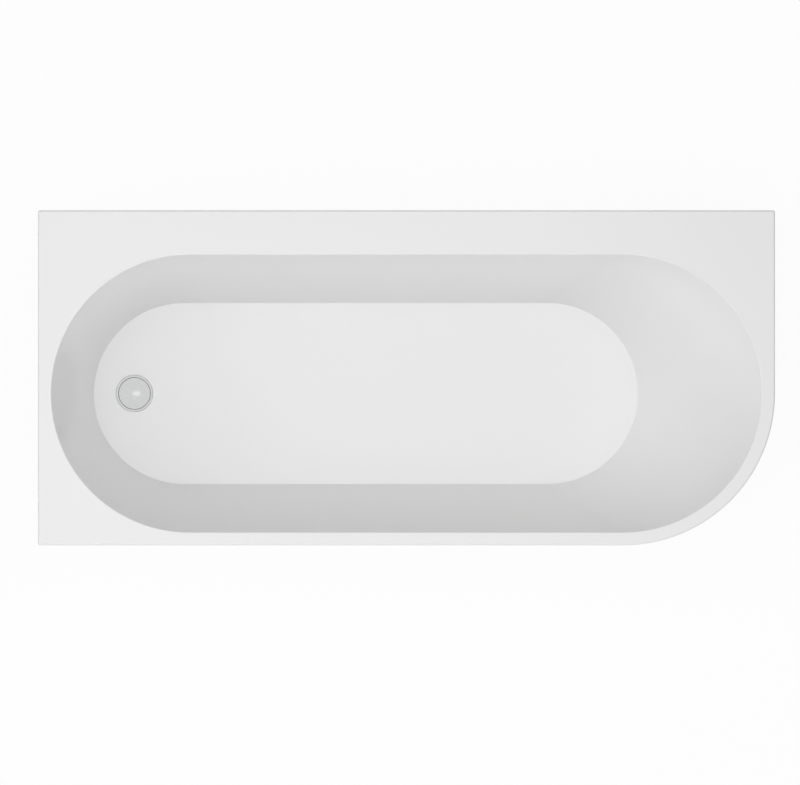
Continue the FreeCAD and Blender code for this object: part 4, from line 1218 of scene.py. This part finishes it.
class BATH_OT_stage(bpy.types.Operator):
    """Lay the pale floor, set the soft light and stand the camera above the bath"""
    bl_idname = "bath.stage"
    bl_label = "Stage"

    def execute(self, context):
        stage = context.scene.bath_stage
        self.floor(context, stage)
        self.sky(context, stage)
        self.lamps(context, stage)
        self.camera(context, stage)
        context.scene.view_settings.view_transform = "Standard"
        return {"FINISHED"}

    def floor(self, context, stage):
        bm = bmesh.new()
        bmesh.ops.create_grid(bm, x_segments=1, y_segments=1, size=stage.floor_size / 2)
        mesh = bpy.data.meshes.new("studio_floor")
        bm.to_mesh(mesh)
        bm.free()
        floor = bpy.data.objects.new("studio_floor", mesh)
        context.scene.collection.objects.link(floor)
        # The floor stays under the lowest pad when the feet are screwed out
        for foot in foot_names:
            under = floor.constraints.new("FLOOR")
            under.target = frame["bodies"]["pad_" + foot]
            under.floor_location = "FLOOR_NEGATIVE_Z"
        finish = Finish("Studio floor")
        set_inputs(finish.shader, Roughness=0.9, Specular_IOR_Level=0.1)
        clouds = finish.noise(scale=3.0)
        finish.colour(finish.tones(clouds, stage.floor_colour, (0.3, 0.99), (0.7, 1.0)))
        glow = finish.node("ShaderNodeEmission")
        mix = finish.node("ShaderNodeMixShader")
        finish.join(finish.maths("MULTIPLY", finish.seen_directly(), stage.floor_glow), mix.inputs["Fac"])
        finish.join(finish.shader.outputs["BSDF"], mix.inputs[1])
        finish.join(glow.outputs["Emission"], mix.inputs[2])
        finish.join(mix.outputs["Shader"], finish.tree.nodes["Material Output"].inputs["Surface"])
        mesh.materials.append(finish.material)

    def sky(self, context, stage):
        world = bpy.data.worlds.new("Studio sky")
        context.scene.world = world
        world.use_nodes = True
        sky = Shading(world.node_tree)
        background = world.node_tree.nodes["Background"]
        set_inputs(background, Color=(1.0, 1.0, 1.0, 1.0))
        strength = sky.span(sky.seen_directly(), stage.sky, 1.0, start=0.0, end=1.0)
        sky.join(strength, background.inputs["Strength"])

    def lamps(self, context, stage):
        """Lamps over the bath, far lamps round it, and a small one that the waste cap mirrors."""
        bath = UP * shell_high.z
        cap = over(waste_centre, shell_low.z)
        over_z, far, far_z = stage.over_height, stage.far_distance, stage.far_height
        glint = cap + Vector((stage.glint_shift, 0.0, stage.glint_height))
        top, key, wide = stage.top_size, stage.key_size, stage.far_size
        for name, watts, width, depth, lamp_place, target, mirrored in (
            ("Top lamp", stage.top_power, top, top, Vector((0.0, 0.0, over_z)), bath, False),
            ("Key lamp", stage.key_power, key, key, Vector((stage.key_x, stage.key_y, over_z)), bath, False),
            ("Front lamp", stage.front_power, wide, wide, Vector((0.0, -far, far_z)), bath, False),
            ("Left lamp", stage.left_power, wide, wide, Vector((-far, 0.0, far_z)), bath, False),
            ("Right lamp", stage.right_power, wide, wide, Vector((far, stage.right_y, far_z)), bath, False),
            ("Glint lamp", stage.glint_power, stage.glint_width, stage.glint_depth, glint, cap, True),
        ):
            light = bpy.data.lights.new(name, "AREA")
            light.shape = "RECTANGLE"
            light.size, light.size_y = width, depth
            light.energy = watts
            lamp = bpy.data.objects.new(name, light)
            context.scene.collection.objects.link(lamp)
            lamp.location = lamp_place
            lamp.rotation_euler = (target - lamp_place).to_track_quat("-Z", "Y").to_euler()
            lamp.visible_camera = False
            lamp.visible_glossy = mirrored

    def camera(self, context, stage):
        lens = bpy.data.cameras.new("Plan camera")
        lens.sensor_width = stage.sensor
        lens.lens = stage.lens
        camera = bpy.data.objects.new("Plan camera", lens)
        context.scene.collection.objects.link(camera)
        distance = stage.picture_width * stage.lens / stage.sensor
        camera.location = (stage.aim_x, stage.aim_y, shell_high.z + distance)
        lens.clip_start = distance * CLIP_START_SHARE
        lens.clip_end = distance * CLIP_END_SHARE
        context.scene.camera = camera


class BATH_PT_sidebar(bpy.types.Panel):
    """The bath's pieces and settings in the sidebar"""
    bl_idname = "BATH_PT_sidebar"
    bl_label = "Corner Bath"
    bl_space_type = "VIEW_3D"
    bl_region_type = "UI"
    bl_category = "Bath"

    def draw(self, context):
        column = self.layout.column(align=True)
        for operator in OPERATORS:
            column.operator(operator.bl_idname)
        for group in GROUPS:
            box = self.layout.box()
            box.label(text=group.removeprefix("bath_").capitalize())
            settings = getattr(context.scene, group)
            for name in settings.__annotations__:
                box.prop(settings, name)


OPERATORS = (
    BATH_OT_stage, BATH_OT_shell, BATH_OT_laminate, BATH_OT_boards, BATH_OT_apron, BATH_OT_frame,
    BATH_OT_feet, BATH_OT_fixings, BATH_OT_waste, BATH_OT_trap,
)
GROUPS = {
    "bath_shell": BathShellSizes,
    "bath_parts": BathPartSizes,
    "bath_finishes": BathFinishes,
    "bath_stage": BathStage,
}


def register():
    for group in GROUPS.values():
        bpy.utils.register_class(group)
    for operator in OPERATORS:
        bpy.utils.register_class(operator)
    bpy.utils.register_class(BATH_PT_sidebar)
    for name, group in GROUPS.items():
        setattr(bpy.types.Scene, name, PointerProperty(type=group))


def unregister():
    for name in GROUPS:
        delattr(bpy.types.Scene, name)
    bpy.utils.unregister_class(BATH_PT_sidebar)
    for operator in reversed(OPERATORS):
        bpy.utils.unregister_class(operator)
    for group in reversed(GROUPS.values()):
        bpy.utils.unregister_class(group)


def main():
    register()
    bpy.ops.bath.stage()
    bpy.ops.bath.shell()
    bpy.ops.bath.laminate()
    bpy.ops.bath.boards()
    bpy.ops.bath.apron()
    bpy.ops.bath.frame()
    bpy.ops.bath.feet()
    bpy.ops.bath.fixings()
    bpy.ops.bath.waste()
    bpy.ops.bath.trap()


if __name__ == "__main__":
    main()
